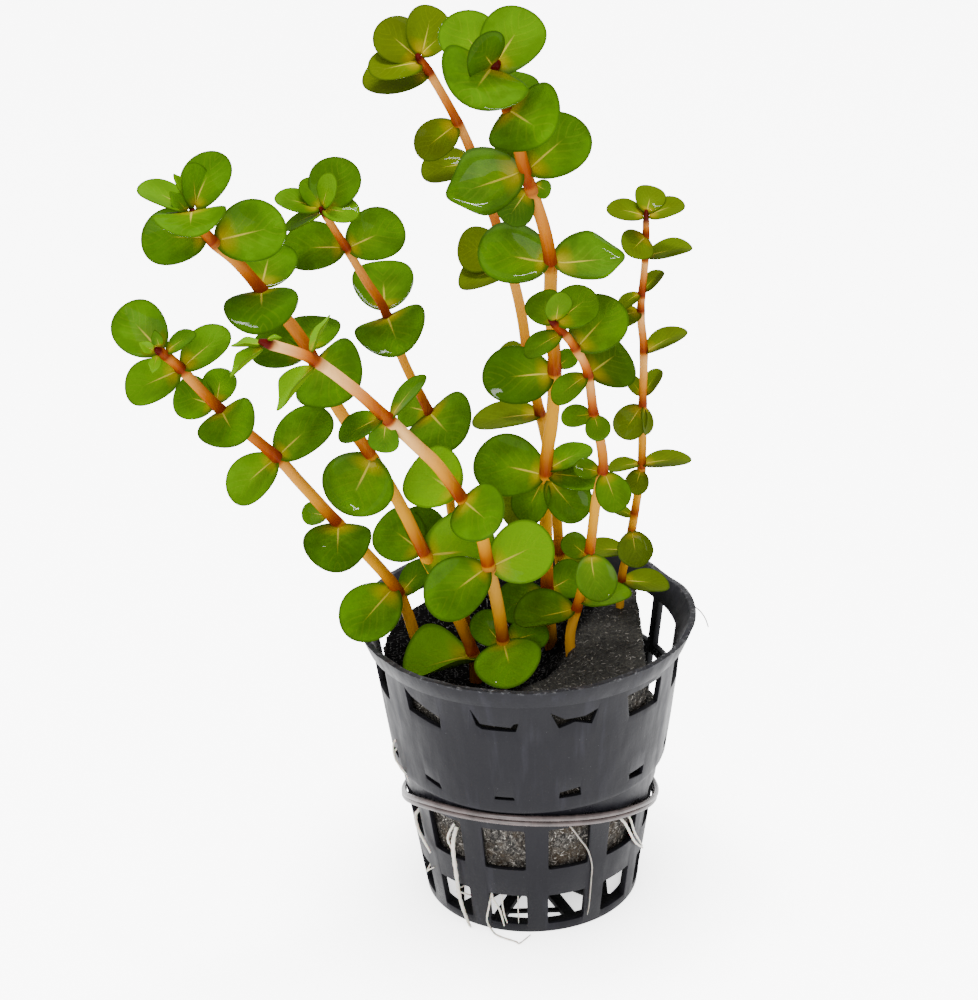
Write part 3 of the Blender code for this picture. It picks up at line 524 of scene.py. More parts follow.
class Nodes:
    """Adds shader nodes to a new material, one call a node."""

    def __init__(self, name):
        self.material = bpy.data.materials.new(name)
        self.material.use_nodes = True
        self.tree = self.material.node_tree
        self.shader = self.tree.nodes["Principled BSDF"]

    def add(self, kind, inputs=(), **values):
        node = self.tree.nodes.new(kind)
        for key, value in values.items():
            setattr(node, key, value)
        for key, value in dict(inputs).items():
            self.put(node.inputs[key], value)
        return node

    def put(self, socket, value):
        if isinstance(value, bpy.types.NodeSocket):
            self.tree.links.new(value, socket)
        else:
            socket.default_value = value

    def object_place(self, scale=(1, 1, 1)):
        place = self.add("ShaderNodeTexCoord").outputs["Object"]
        return self.add("ShaderNodeMapping", {"Vector": place, "Scale": scale}).outputs["Vector"]

    def split(self, vector):
        return self.add("ShaderNodeSeparateXYZ", {"Vector": vector}).outputs

    def parts(self, name):
        """The three values of an attribute."""
        return self.split(self.add("ShaderNodeAttribute", attribute_name=name).outputs["Vector"])

    def math(self, operation, first, second=0.0, third=0.0, clamp=False):
        node = self.add("ShaderNodeMath", operation=operation, use_clamp=clamp)
        for socket, value in zip(node.inputs, (first, second, third)):
            self.put(socket, value)
        return node.outputs["Value"]

    def times(self, first, second):
        return self.math("MULTIPLY", first, second)

    def noise(self, place, scale, detail=4.0, roughness=0.6, distortion=0.0):
        return self.add("ShaderNodeTexNoise", {"Vector": place, "Scale": scale, "Detail": detail,
                        "Roughness": roughness, "Distortion": distortion}).outputs["Fac"]

    def between(self, value, low, high, start=0.0, end=1.0):
        return self.add("ShaderNodeMapRange", {"Value": value, "From Min": low, "From Max": high,
                        "To Min": start, "To Max": end}, interpolation_type="SMOOTHSTEP").outputs["Result"]

    def mix(self, share, first, second):
        node = self.add("ShaderNodeMix", data_type="RGBA")
        self.put(node.inputs["Factor"], share)
        for socket, value in zip([s for s in node.inputs if s.type == "RGBA"], (first, second)):
            self.put(socket, value)
        return [s for s in node.outputs if s.type == "RGBA"][0]

    def bump(self, height, distance, strength, normal=None):
        inputs = {"Height": height, "Distance": distance, "Strength": strength}
        if normal is not None:
            inputs["Normal"] = normal
        return self.add("ShaderNodeBump", inputs).outputs["Normal"]

    def finish(self, **sockets):
        for key, value in sockets.items():
            self.put(self.shader.inputs[key.replace("_", " ").title().replace("Ior", "IOR")], value)
        return self.material


def rgb(color, share=1.0):
    """A setting's colour with its alpha, darker or lighter by a share."""
    return (*(part * share for part in color), 1.0)


def pot_material(settings):
    """Moulded black plastic: satin, with faint upright streaks, a scuffed rim and a darker inside that is
    painted shade.
    """
    n = Nodes("moulded_plastic")
    place = n.object_place()
    streaks = n.noise(n.object_place((1, 1, 0.08)), 420, 3)
    clouds = n.noise(place, 90, 4)
    height = n.split(place)["Z"]
    rim = n.between(height, 0.0492, 0.05)
    scuffs = n.between(n.noise(place, 900, 6, 0.75), 0.52, 0.72)
    specks = n.between(n.noise(place, 2600, 2, 0.5), 0.72, 0.8)
    inside = n.parts("inside")[0]
    light = n.math("ADD", n.times(rim, scuffs), n.times(specks, 0.3), clamp=True)
    body = n.mix(clouds, rgb(settings.plastic, 0.7), rgb(settings.plastic))
    body = n.mix(n.between(streaks, 0.5, 0.8), body, rgb(settings.plastic, 1.9))
    color = n.mix(light, body, SCUFFED_PLASTIC)
    # The inside of the wall is darkened and roughened: painted shade
    color = n.mix(inside, color, PAINTED_SHADE_PLASTIC)
    rough = n.between(n.math("ADD", clouds, n.times(streaks, 0.6)), 0.45, 1.1, 0.24, 0.5)
    rough = n.math("ADD", rough, n.times(inside, 0.35))
    grain = n.bump(n.noise(place, 1800, 3), 0.00006, 0.35)
    ridges = n.bump(streaks, 0.0002, 0.3, grain)
    waves = n.bump(n.noise(n.object_place((1, 1, 0.45)), 75, 3), 0.0022, 0.4, ridges)
    return n.finish(base_color=color, roughness=rough, specular_ior_level=0.15, normal=waves)


def wool_material(settings):
    """Wet mineral wool: dark between matted pale fibres, darker where wet, and black in the hollow, where
    shade is painted.
    """
    n = Nodes("wet_mineral_wool")
    place = n.object_place()
    wet = n.parts("wet")[0]
    patches = n.noise(place, 260, 5, 0.7)
    fibres = n.noise(n.object_place((1, 1, 0.6)), 1500, 6, 0.8, 1.6)
    grains = n.between(n.noise(place, 2300, 3, 0.6), 0.6, 0.7)
    color = n.mix(n.between(fibres, 0.42, 0.7), rgb(settings.wool, 0.04), rgb(settings.wool))
    color = n.mix(n.between(patches, 0.42, 0.66, 0, 0.6), color, BROWN_WOOL)
    color = n.mix(grains, color, PALE_GRAIN)
    soaked_and_shaded = n.mix(n.between(fibres, 0.35, 0.72), SOAKED_WOOL, SOAKED_FIBRE)
    soaked_and_shaded = n.mix(n.times(grains, n.between(wet, 0.95, 0.5)), soaked_and_shaded, SOAKED_GRAIN)
    # Black in the hollow: painted shade
    soaked_and_shaded = n.mix(n.between(wet, 0.7, 1.0), soaked_and_shaded, PAINTED_SHADE_WOOL)
    color = n.mix(n.between(wet, 0.0, 0.5), color, soaked_and_shaded)
    normal = n.bump(fibres, 0.0008, 0.9)
    # Less shine in the hollow, along with its painted shade
    shine = n.between(wet, 0.6, 1.0, 0.25, 0.03)
    return n.finish(base_color=color, roughness=0.75, specular_ior_level=shine, normal=normal)


def fibre_material(settings):
    """One fibre is as pale as its attribute says, from black to straw."""
    n = Nodes("wool_fibre")
    paleness = n.parts("wet")[1]
    color = n.mix(paleness, BLACK_FIBRE, rgb(settings.wool, 2.2))
    return n.finish(base_color=color, roughness=0.5, specular_ior_level=0.35)


def band_material(settings):
    """Glossy brownish grey rubber, mottled."""
    n = Nodes("stretched_rubber")
    place = n.object_place()
    mottle = n.noise(place, 300, 4)
    color = n.mix(n.between(mottle, 0.35, 0.7), rgb(settings.rubber, 0.5), rgb(settings.rubber))
    normal = n.bump(n.noise(place, 1400, 3), 0.00008, 0.5)
    return n.finish(base_color=color, roughness=0.2, specular_ior_level=0.7, normal=normal)


def root_material(settings):
    """A live white root, browner and dirtier in places."""
    n = Nodes("live_root")
    place = n.object_place()
    dark = n.parts("root_tone")[0]
    dirt = n.between(n.noise(place, 500, 5, 0.7), 0.52, 0.78, 0, 0.6)
    color = n.mix(dirt, rgb(settings.root), DIRTY_ROOT)
    color = n.mix(dark, color, DARK_ROOT)
    normal = n.bump(n.noise(place, 2500, 3), 0.00008, 0.6)
    return n.finish(base_color=color, roughness=0.4, subsurface_weight=0.15, subsurface_scale=0.0005,
                    normal=normal)


def leaf_material(name, olive, settings):
    """A glossy leaf: a yellow base, a pale midrib, faint side veins, a darker rim and a duller back."""
    n = Nodes(name)
    along, across, back = n.parts("leaf")
    tint, edge, odd = n.parts("tint")
    place = n.object_place()
    aside = n.math("ABSOLUTE", across)
    blotch = n.noise(place, 210, 4, 0.6)
    body = n.mix(n.between(blotch, 0.3, 0.72), rgb(settings.leaf, 0.55), rgb(settings.leaf))
    # Tint moves a leaf towards a lighter or a darker green: partly its own colour, partly painted light and
    # shade
    body = n.mix(n.times(n.between(tint, 0, 1), 0.85), body, rgb(settings.young_and_lit))
    body = n.mix(n.times(n.between(tint, 0, -1), 0.8), body, SHADED_LEAF)
    body = n.mix(olive, body, OLIVE_LEAF)
    reach = n.math("MULTIPLY_ADD", odd, 0.16, 0.16)
    warm = n.math("SUBTRACT", 1.0, n.math("DIVIDE", along, reach), clamp=True)
    warm = n.times(warm, n.math("SUBTRACT", 1.3, n.times(aside, 1.4), clamp=True))
    body = n.mix(n.times(warm, 0.9), body, LEAF_BASE)
    glow = n.times(n.between(along, 0.75, 0.05), n.between(aside, 0.8, 0.0))
    body = n.mix(n.times(glow, 0.25), body, LEAF_GLOW)
    arch = n.math("MULTIPLY_ADD", aside, -0.6, along)
    arch = n.math("ADD", arch, n.times(blotch, 0.09))
    waves = n.math("SINE", n.times(arch, 38.0))
    veins = n.times(n.between(waves, 0.5, 1.0), n.between(aside, 0.85, 0.2))
    body = n.mix(n.times(veins, 0.055), body, SIDE_VEIN)
    rib_width = n.between(along, 0.0, 0.75, 0.07, 0.014)
    rib = n.math("SUBTRACT", 1.0, n.math("DIVIDE", aside, rib_width), clamp=True)
    rib_end = n.math("MULTIPLY_ADD", odd, 0.3, 0.5)
    rib = n.times(n.between(rib, 0.0, 0.7), n.between(along, rib_end, 0.25))
    body = n.mix(n.times(rib, 0.75), body, MIDRIB)
    rim = n.between(edge, 0.9, 0.985)
    body = n.mix(n.times(rim, 0.55), body, LEAF_RIM)
    color = n.mix(n.times(back, 0.6), body, LEAF_BACK)
    relief = n.math("SUBTRACT", n.times(veins, 0.3), rib)
    normal = n.bump(relief, 0.0001, 0.6)
    normal = n.bump(n.noise(place, 240, 3), 0.0008, 0.3, normal)
    rough = n.between(n.noise(place, 420, 3), 0.35, 0.7, 0.35, 0.5)
    wet = n.math("MULTIPLY_ADD", n.parts("stem")[0], 0.11, 0.07)
    return n.finish(base_color=color, roughness=rough, specular_ior_level=0.0, coat_weight=wet,
                    coat_roughness=0.03, normal=normal)


def stem_material(name, pinkness):
    """A stem: deep red above each node, paling to peach below the next, ochre near the wool."""
    n = Nodes(name)
    share, between_nodes, node = n.parts("stem")
    streak = n.noise(n.object_place((1, 1, 0.12)), 900, 4, 0.6)
    middle = n.mix(pinkness, *STEM_MIDDLE)
    pale = n.mix(pinkness, *STEM_PALE)
    body = n.mix(n.between(between_nodes, 0.08, 0.5), STEM_RED, middle)
    body = n.mix(n.between(between_nodes, 0.3, 0.95), body, pale)
    ochre = n.times(n.between(share, 0.7, 0.35), n.between(between_nodes, 0.05, 0.5))
    body = n.mix(n.times(ochre, 0.75), body, STEM_OCHRE)
    body = n.mix(n.between(share, 0.05, 0.0), body, STEM_BROWN)
    body = n.mix(n.between(streak, 0.45, 0.75, 0, 0.25), body, STEM_STREAK)
    body = n.mix(n.times(node, 0.8), body, STEM_NODE)
    body = n.mix(n.between(share, 0.965, 0.985), body, BUD_RED)
    normal = n.bump(streak, 0.00015, 0.5)
    return n.finish(base_color=body, roughness=0.36, specular_ior_level=0.0, coat_weight=0.1,
                    coat_roughness=0.06, normal=normal)


def floor_material(settings):
    """Seamless white paper, lit through from below, with a painted contact shadow close around what stands
    on it.
    """
    n = Nodes("studio_paper")
    fine = n.noise(n.object_place(), 40, 3)
    color = n.mix(n.between(fine, 0.3, 0.7), rgb(settings.paper), rgb(settings.paper, 0.992))
    seen = n.add("ShaderNodeLightPath").outputs["Is Camera Ray"]
    # Ambient occlusion dims the floor's glow near the pot: a painted contact shadow
    painted_shadow_ao = n.add("ShaderNodeAmbientOcclusion", {"Distance": SHADE_REACH}).outputs["AO"]
    glow = n.math("MULTIPLY_ADD", n.times(seen, painted_shadow_ao), settings.paper_glow, settings.paper_light)
    return n.finish(base_color=color, roughness=0.9, specular_ior_level=0.1, emission_color=WHITE,
                    emission_strength=glow)


# Curves and routes


def smooth_route(route, steps):
    """A Catmull-Rom curve through the route's points, as steps points for each stretch."""
    knots = [Vector(point) for point in route]
    knots = [2 * knots[0] - knots[1]] + knots + [2 * knots[-1] - knots[-2]]
    points = []
    for before, start, end, after in zip(knots, knots[1:], knots[2:], knots[3:]):
        for step in range(steps):
            t = step / steps
            bend = 2 * before - 5 * start + 4 * end - after
            twist = 3 * start - before - 3 * end + after
            points.append((2 * start + (end - before) * t + bend * t * t + twist * t ** 3) / 2)
    points.append(knots[-2])
    return points


def point_at_height(points, height):
    """The stem's middle at a height, and the way it grows there."""
    for low, high in zip(points, points[1:]):
        if low.z <= height <= high.z:
            return low.lerp(high, (height - low.z) / (high.z - low.z)), (high - low).normalized()
    return points[-1], (points[-1] - points[-2]).normalized()


def tube(name, points, radii, resolution, closed=False):
    """A round tube along points given in millimetres, made a mesh with its ends closed."""
    curve = bpy.data.curves.new(name, "CURVE")
    curve.dimensions = "3D"
    curve.bevel_depth = MM
    curve.bevel_resolution = resolution
    curve.use_fill_caps = not closed
    line = curve.splines.new("POLY")
    line.points.add(len(points) - 1)
    for point, place, radius in zip(line.points, points, radii):
        point.co = (*(Vector(place) * MM), 1)
        point.radius = radius
    line.use_cyclic_u = closed
    item = linked(name, curve)
    activate(item)
    bpy.ops.object.convert(target="MESH")
    clean(item)
    return item


def outer_radius(height):
    """The radius of the pot's wall outside, at a height over the floor."""
    if height <= SHOULDER:
        share = height / SHOULDER
        return BASE_RADIUS + share * (UNDER_SHOULDER_RADIUS - BASE_RADIUS)
    share = (height - SHOULDER) / (POT_HEIGHT - LIP_HEIGHT - SHOULDER)
    return OVER_SHOULDER_RADIUS + share * (UNDER_LIP_RADIUS - OVER_SHOULDER_RADIUS)


def on_wall(angle, height, outside):
    """A place beside the pot, in degrees from the front, and how far off the wall it stands."""
    radius = outer_radius(height) + outside
    return Vector((radius * sin(radians(angle)), -radius * cos(radians(angle)), height))


# The pot


def turned(name, profile, steps):
    """Extrudes a ring through a closed profile of radius and height points."""
    radius, height = profile[0]
    item = primitive(name, bpy.ops.mesh.primitive_circle_add, vertices=steps, radius=radius * MM,
                     location=(0, 0, height * MM))
    bpy.ops.object.mode_set(mode="EDIT")
    bpy.ops.mesh.select_all(action="SELECT")
    for next_radius, next_height in [*profile[1:], profile[0]]:
        rise, growth = (next_height - height) * MM, next_radius / radius
        bpy.ops.mesh.extrude_region_move(TRANSFORM_OT_translate={"value": (0, 0, rise)})
        bpy.ops.transform.resize(value=(growth, growth, 1), center_override=(0, 0, next_height * MM))
        radius, height = next_radius, next_height
    clean(item, 0.000005)
    return item


def flat_cutter(name, outline, depth):
    """A flat outline in millimetres, extruded both ways."""
    curve = bpy.data.curves.new(name, "CURVE")
    curve.dimensions = "2D"
    curve.fill_mode = "BOTH"
    curve.extrude = depth / 2 * MM
    line = curve.splines.new("POLY")
    line.points.add(len(outline) - 1)
    for point, (across, up) in zip(line.points, outline):
        point.co = (across * MM, up * MM, 0, 1)
    line.use_cyclic_u = True
    return linked(name, curve)


def rounded(outline, cut):
    """Cuts every corner of an outline by a length, with one point more for a soft bend."""
    points = [Vector(point) for point in outline]
    made = []
    for before, here, after in zip(points[-1:] + points[:-1], points, points[1:] + points[:1]):
        back, on = before - here, after - here
        reach = min(cut, back.length * 0.4, on.length * 0.4)
        start, end = here + back.normalized() * reach, here + on.normalized() * reach
        made += [start, (start + end + 2 * here) / 4, end]
    return made


def window_cutter(angle, height, outline, rounding):
    """A cutter through the wall, from an outline across the wall and up."""
    item = flat_cutter("window", rounded(outline, rounding), WINDOW_DEPTH)
    spot = Vector((0, -(outer_radius(height) - WALL / 2), height)) * MM
    item.matrix_world = (Matrix.Rotation(radians(angle), 4, "Z") @ Matrix.Translation(spot)
                         @ Matrix.Rotation(pi / 2, 4, "X"))
    return item


def plain_window(angle, low, high, degrees):
    """A cutter for a window with straight sides, as wide in degrees at its top as at its foot."""
    middle = (low + high) / 2
    below = outer_radius(low) * sin(radians(degrees / 2))
    above = outer_radius(high) * sin(radians(degrees / 2))
    rise = high - middle
    outline = ((-above, rise), (-below, -rise), (below, -rise), (above, rise))
    return window_cutter(angle, middle, outline, WINDOW_ROUNDING)


def make_windows():
    """All the windows' cutters as one piece."""
    columns = [FIRST_WINDOW + column * PITCH for column in range(COLUMNS)]
    plain = [(angle, *row) for angle in columns for row in (BOTTOM_ROW, LOWER_ROW)]
    plain += [(angle, *UPPER_ROW) for angle in BACK_COLUMNS]
    plain += [(angle, *BACK_TOP_ROW, degrees) for angle, degrees in BACK_TOP_WINDOWS]
    plain += [(angle, *row) for angle in SIDE_COLUMNS for row in (SIDE_TOP_ROW, SIDE_SLOT)]
    cutters = [plain_window(*window) for window in plain]
    cutters += [window_cutter(*opening, FRONT_ROUNDING) for opening in FRONT_OPENINGS]
    activate(*cutters)
    bpy.ops.object.convert(target="MESH")
    windows = join(cutters, "windows")
    clean(windows)
    return windows


def cut_with(item, cutter, operation="DIFFERENCE"):
    apply_modifier(item, "BOOLEAN", object=cutter, operation=operation, solver="EXACT")
    bpy.data.objects.remove(cutter, do_unlink=True)


def block(name, middle, size, turn):
    """A box in millimetres, turned in degrees around the pot's middle."""
    item = primitive(name, bpy.ops.mesh.primitive_cube_add, size=MM, scale=size,
                     location=Vector(middle) * MM)
    item.rotation_euler.z = radians(turn)
    apply_place(item)
    return item


def make_floor_grid():
    """The hub, spokes and thin bars under the plant."""
    grid = primitive("floor_grid", bpy.ops.mesh.primitive_cylinder_add, vertices=48, radius=HUB_RADIUS * MM,
                     depth=SPOKE_HEIGHT * MM, location=(0, 0, SPOKE_HEIGHT / 2 * MM))
    reach = BASE_RING + SPOKE_INTO_RING - HUB_RADIUS + SPOKE_INTO_HUB
    middle = (0, -(HUB_RADIUS - SPOKE_INTO_HUB + reach / 2), SPOKE_HEIGHT / 2)
    size = (SPOKE_WIDTH, reach, SPOKE_HEIGHT - SPOKE_SINK)
    parts = [block("spoke", middle, size, angle) for angle in SPOKE_ANGLES]
    middle = (0, -BAR_DISTANCE, BAR_HEIGHT / 2)
    parts += [block("bar", middle, (length, BAR_WIDTH, BAR_HEIGHT - BAR_SINK), angle)
              for angle, length in zip(BAR_ANGLES, BAR_LENGTHS)]
    for part in parts:
        cut_with(grid, part, "UNION")
    return grid


def roughen_rim(pot):
    """Moves the rim's corners a little, as moulding flash and wear leave it, and waves the wall."""
    places = corners(pot.data) / MM
    angle = np.arctan2(places[:, 0], -places[:, 1])
    radius = np.hypot(places[:, 0], places[:, 1])
    height = places[:, 2]
    ragged = sum(np.sin(number * angle + phase) / (1 + 0.05 * number) for number, phase in RIM_WAVES)
    rim = smoothstep(48.6, 49.8, height)
    dent_angle, dent_width, dent_depth = RIM_DENT
    dent = np.exp(-((np.degrees(angle) - dent_angle) / dent_width) ** 2) * rim
    wall = smoothstep(1.5, 8.0, height) * (1 - rim)
    wave = np.sin(3 * angle + height / 9) + 0.6 * np.sin(5 * angle - height / 5 + 1)
    move = RIM_ROUGHNESS * ragged * rim - dent_depth * dent + WALL_ROUGHNESS * wave * wall
    move = np.minimum(move, np.maximum(RIM_RADIUS - radius, 0.0))
    places[:, :2] *= ((radius + move) / np.maximum(radius, 0.01))[:, None]
    places[:, 2] -= rim * (RIM_SINK[0] * (ragged + 2.2).clip(0) + RIM_SINK[1] * dent)
    places[:, 2] = np.maximum(places[:, 2], 0)
    set_corners(pot.data, places * MM)


def make_pot(settings):
    """The net pot: a turned wall with ribs, its windows, its floor grid and softened edges."""
    lip = POT_HEIGHT - LIP_HEIGHT
    bulge, bulge_height = LOWER_BULGE
    profile = (
        (BASE_RING, 0), (BASE_RADIUS, 0), (BASE_RADIUS + bulge, bulge_height),
        (UNDER_SHOULDER_RADIUS - 0.05, SHOULDER - 0.3), (UNDER_SHOULDER_RADIUS + 0.7, SHOULDER - 0.1),
        (OVER_SHOULDER_RADIUS, SHOULDER + 0.5), (OVER_SHOULDER_RADIUS + 0.15, SHOULDER + 1.6), *UPPER_WALL,
        (UNDER_LIP_RADIUS, lip), (UNDER_LIP_RADIUS + LIP_STEP, lip + 0.4), (RIM_RADIUS, POT_HEIGHT),
        (RIM_RADIUS - 1.0, POT_HEIGHT),
        (UNDER_LIP_RADIUS - WALL, lip), (OVER_SHOULDER_RADIUS - WALL, SHOULDER + 1.2),
        (UNDER_SHOULDER_RADIUS - WALL, SHOULDER - 0.4), (BASE_RADIUS - WALL, FLOOR), (BASE_RING, FLOOR))
    pot = turned("net_pot", profile, POT_STEPS)
    cut_with(pot, make_floor_grid(), "UNION")
    cut_with(pot, make_windows())
    apply_modifier(pot, "BEVEL", width=POT_BEVEL * MM, segments=2, limit_method="ANGLE",
                   angle_limit=radians(POT_BEVEL_ANGLE))
    x, y, height = (corners(pot.data) / MM).T
    depth = np.array([outer_radius(level) for level in height]) - np.hypot(x, y)
    # How deep a corner lies inside the wall, which the material darkens as painted shade
    set_attribute(pot.data, "inside", smoothstep(0.3, 0.75, depth) * smoothstep(49.6, 48.6, height))
    roughen_rim(pot)
    shade(pot, 50)
    paint(pot.data, pot_material(settings))
    dress(pot, "pot", "pot")


# The rock wool


def make_wool(settings):
    """The plug: turned, cut off on top and at the right, hollowed, and roughened."""
    side = [(outer_radius(height) - WALL - WOOL_GAP, height)
            for height in (WOOL_BOTTOM, SHOULDER - 0.8, SHOULDER + 2.0, POT_HEIGHT)]
    profile = ((WOOL_CORE, WOOL_BOTTOM), *side, (WOOL_CORE, POT_HEIGHT))
    wool = turned("rock_wool_plug", profile, WOOL_STEPS)
    core = primitive("core", bpy.ops.mesh.primitive_cylinder_add, vertices=24, radius=1.2 * MM,
                     depth=(POT_HEIGHT - WOOL_BOTTOM) * MM,
                     location=(0, 0, (POT_HEIGHT + WOOL_BOTTOM) / 2 * MM))
    cut_with(wool, core, "UNION")
    cutters = (
        primitive("top", bpy.ops.mesh.primitive_cube_add, size=MM, scale=(80, 80, 20),
                  location=(0, 0, (WOOL_MIDDLE_HEIGHT + 10) * MM), rotation=(0, -radians(WOOL_SLOPE), 0)),
        primitive("flat", bpy.ops.mesh.primitive_cube_add, size=MM, scale=(20, 80, 30),
                  location=((WOOL_FLAT + 10) * MM, 0, (WOOL_FLAT_BOTTOM + 15) * MM)),
        primitive("hollow", bpy.ops.mesh.primitive_ico_sphere_add, subdivisions=4, radius=MM,
                  location=Vector(HOLLOW_MIDDLE) * MM, scale=HOLLOW_RADII))
    for cutter in cutters:
        cut_with(wool, cutter)
    apply_modifier(wool, "REMESH", mode="VOXEL", voxel_size=WOOL_VOXEL * MM)
    for size, strength in WOOL_LUMPS:
        texture = bpy.data.textures.new("lumps", "CLOUDS")
        texture.noise_scale = size * MM
        texture.noise_depth = 3
        apply_modifier(wool, "DISPLACE", texture=texture, strength=strength * MM, mid_level=LUMP_LEVEL,
                       texture_coords="LOCAL")
    paint(wool.data, wool_material(settings))
    shade(wool, 80)
    set_attribute(wool.data, "wet", wool_wet_and_shaded(corners(wool.data) / MM))
    plug = join([wool, make_fibres(wool, settings)], "rock_wool_plug")
    dress(plug, "rock_wool", "rock_wool")


def wool_wet_and_shaded(places):
    """0 at the dry side, 0.55 on the wet top, and 1 in the hollow left of a slanting line, whose shade the
    materials paint.
    """
    wall = np.interp(places[:, 2], (0, SHOULDER, POT_HEIGHT),
                     (BASE_RADIUS, UNDER_SHOULDER_RADIUS, RIM_RADIUS)) - WALL - WOOL_GAP
    inside = smoothstep(0.5, 1.8, wall - np.hypot(places[:, 0], places[:, 1])) * (places[:, 2] > SHOULDER)
    # The hollow left of a slanting line, where shade is painted
    soaked_and_shaded = smoothstep(-1.0, 3.0, 9.3 + 0.5 * places[:, 1] - places[:, 0])
    return inside * (0.55 + 0.45 * soaked_and_shaded)


def make_fibres(wool, settings):
    """Short fibres lying and standing on the wool: one is modelled and then copied into one mesh."""
    rng = np.random.default_rng(FIBRE_SEED)
    strand = primitive("strand", bpy.ops.mesh.primitive_cylinder_add, vertices=3, radius=1, depth=1,
                       end_fill_type="NOTHING")
    apply_modifier(strand, "TRIANGULATE")
    places = corners(strand.data)
    faces = np.array([polygon.vertices for polygon in strand.data.polygons])
    bpy.data.objects.remove(strand, do_unlink=True)
    wool_places = corners(wool.data)
    normals = np.empty(len(wool_places) * 3, np.float32)
    wool.data.vertices.foreach_get("normal", normals)
    normals = normals.reshape(-1, 3).astype(float)
    wet_and_shaded = wool_wet_and_shaded(wool_places / MM)
    chosen = rng.choice(len(wool_places), min(settings.fibres, len(wool_places)), replace=False)
    made, made_faces, tones = [], [], []
    for number, index in enumerate(chosen):
        out = normals[index]
        along = rng.normal(size=3)
        along -= along @ out * out
        along = along / np.linalg.norm(along) + out * rng.uniform(*FIBRE_RISES)
        along /= np.linalg.norm(along)
        side = np.cross(along, out)
        side /= np.linalg.norm(side)
        length = rng.uniform(*FIBRE_LENGTHS) * MM
        radius = rng.uniform(*FIBRE_RADII) * MM
        axes = np.stack([side * radius, np.cross(along, side) * radius, along * length])
        made.append(wool_places[index] + out * FIBRE_LIFT * MM + places @ axes)
        made_faces.append(faces + number * len(places))
        # A fibre is darker where the wool is wet, and near black in the hollow as painted shade
        tones.append(np.full(len(places), rng.uniform(0, 1) ** 3 * (1 - 0.97 * wet_and_shaded[index])))
    mesh = bpy.data.meshes.new("fibres")
    mesh.from_pydata(np.concatenate(made), [], np.concatenate(made_faces))
    set_attribute(mesh, "wet", 0, np.concatenate(tones))
    paint(mesh, fibre_material(settings))
    return linked("fibres", mesh)


# The rubber band


def make_band(settings):
    """One loop that goes around twice and crosses itself at the back."""
    knots = [Vector((0, 0, height)) for height in BAND_HEIGHTS * 4]
    heights = [point.z for point in smooth_route(knots, BAND_STEPS // len(BAND_HEIGHTS))]
    points, radii = [], []
    total = 2 * BAND_STEPS
    for step in range(total):
        turn = 4 * pi * step / total
        height = heights[BAND_STEPS + step] + BAND_SPREAD * cos(turn / 2)
        lift = BAND_LIFT * max(0.0, sin(turn / 2)) ** 6
        radius = outer_radius(height) + BAND_STRAND / 2 + BAND_GAP + lift
        points.append(Vector((radius * sin(turn), -radius * cos(turn), height)))
        radii.append(BAND_STRAND / 2 * (1 + BAND_UNEVEN * sin(5 * turn)))
    band = tube("wound_band", points, radii, 4, closed=True)
    paint(band.data, band_material(settings))
    shade(band, 60)
    dress(band, "rubber_band", "rubber_band")


# Shoots


def leaf_axes(leaf):
    """The directions of a leaf's midrib, of its side and of its upper face."""
    facing = Vector((0, -cos(radians(FACE_UP)), sin(radians(FACE_UP))))
    right = Vector((1, 0, 0))
    up = facing.cross(right)
    turn, lean, roll = radians(leaf.turn), radians(leaf.lean), radians(leaf.roll)
    midrib = cos(lean) * (cos(turn) * right + sin(turn) * up) + sin(lean) * facing
    normal = (facing - facing.dot(midrib) * midrib).normalized()
    tilt = normal.cross(midrib)
    if tilt.dot(up + 0.3 * right) < 0:
        tilt = -tilt
    normal = cos(roll) * normal + sin(roll) * tilt
    return np.array(midrib), np.array(normal.cross(midrib)), np.array(normal)


def leaf_blank():
    """A thin lens from base to tip along X, whose rows of corners run like the leaf's veins."""
    blank = primitive("leaf_blank", bpy.ops.mesh.primitive_uv_sphere_add, segments=LEAF_SEGMENTS,
                      ring_count=LEAF_RINGS, radius=0.5, location=(0.5, 0, 0), rotation=(0, pi / 2, 0))
    x, y, z = corners(blank.data).T
    along = np.clip(x, 0, 1)
    reach = np.sqrt(np.maximum(along * (1 - along), 1e-9))
    across = np.clip(y / reach, -1, 1)
    across = np.sign(across) * np.abs(across) ** 1.35
    set_attribute(blank.data, "leaf", along, across, z < 0)
    return blank


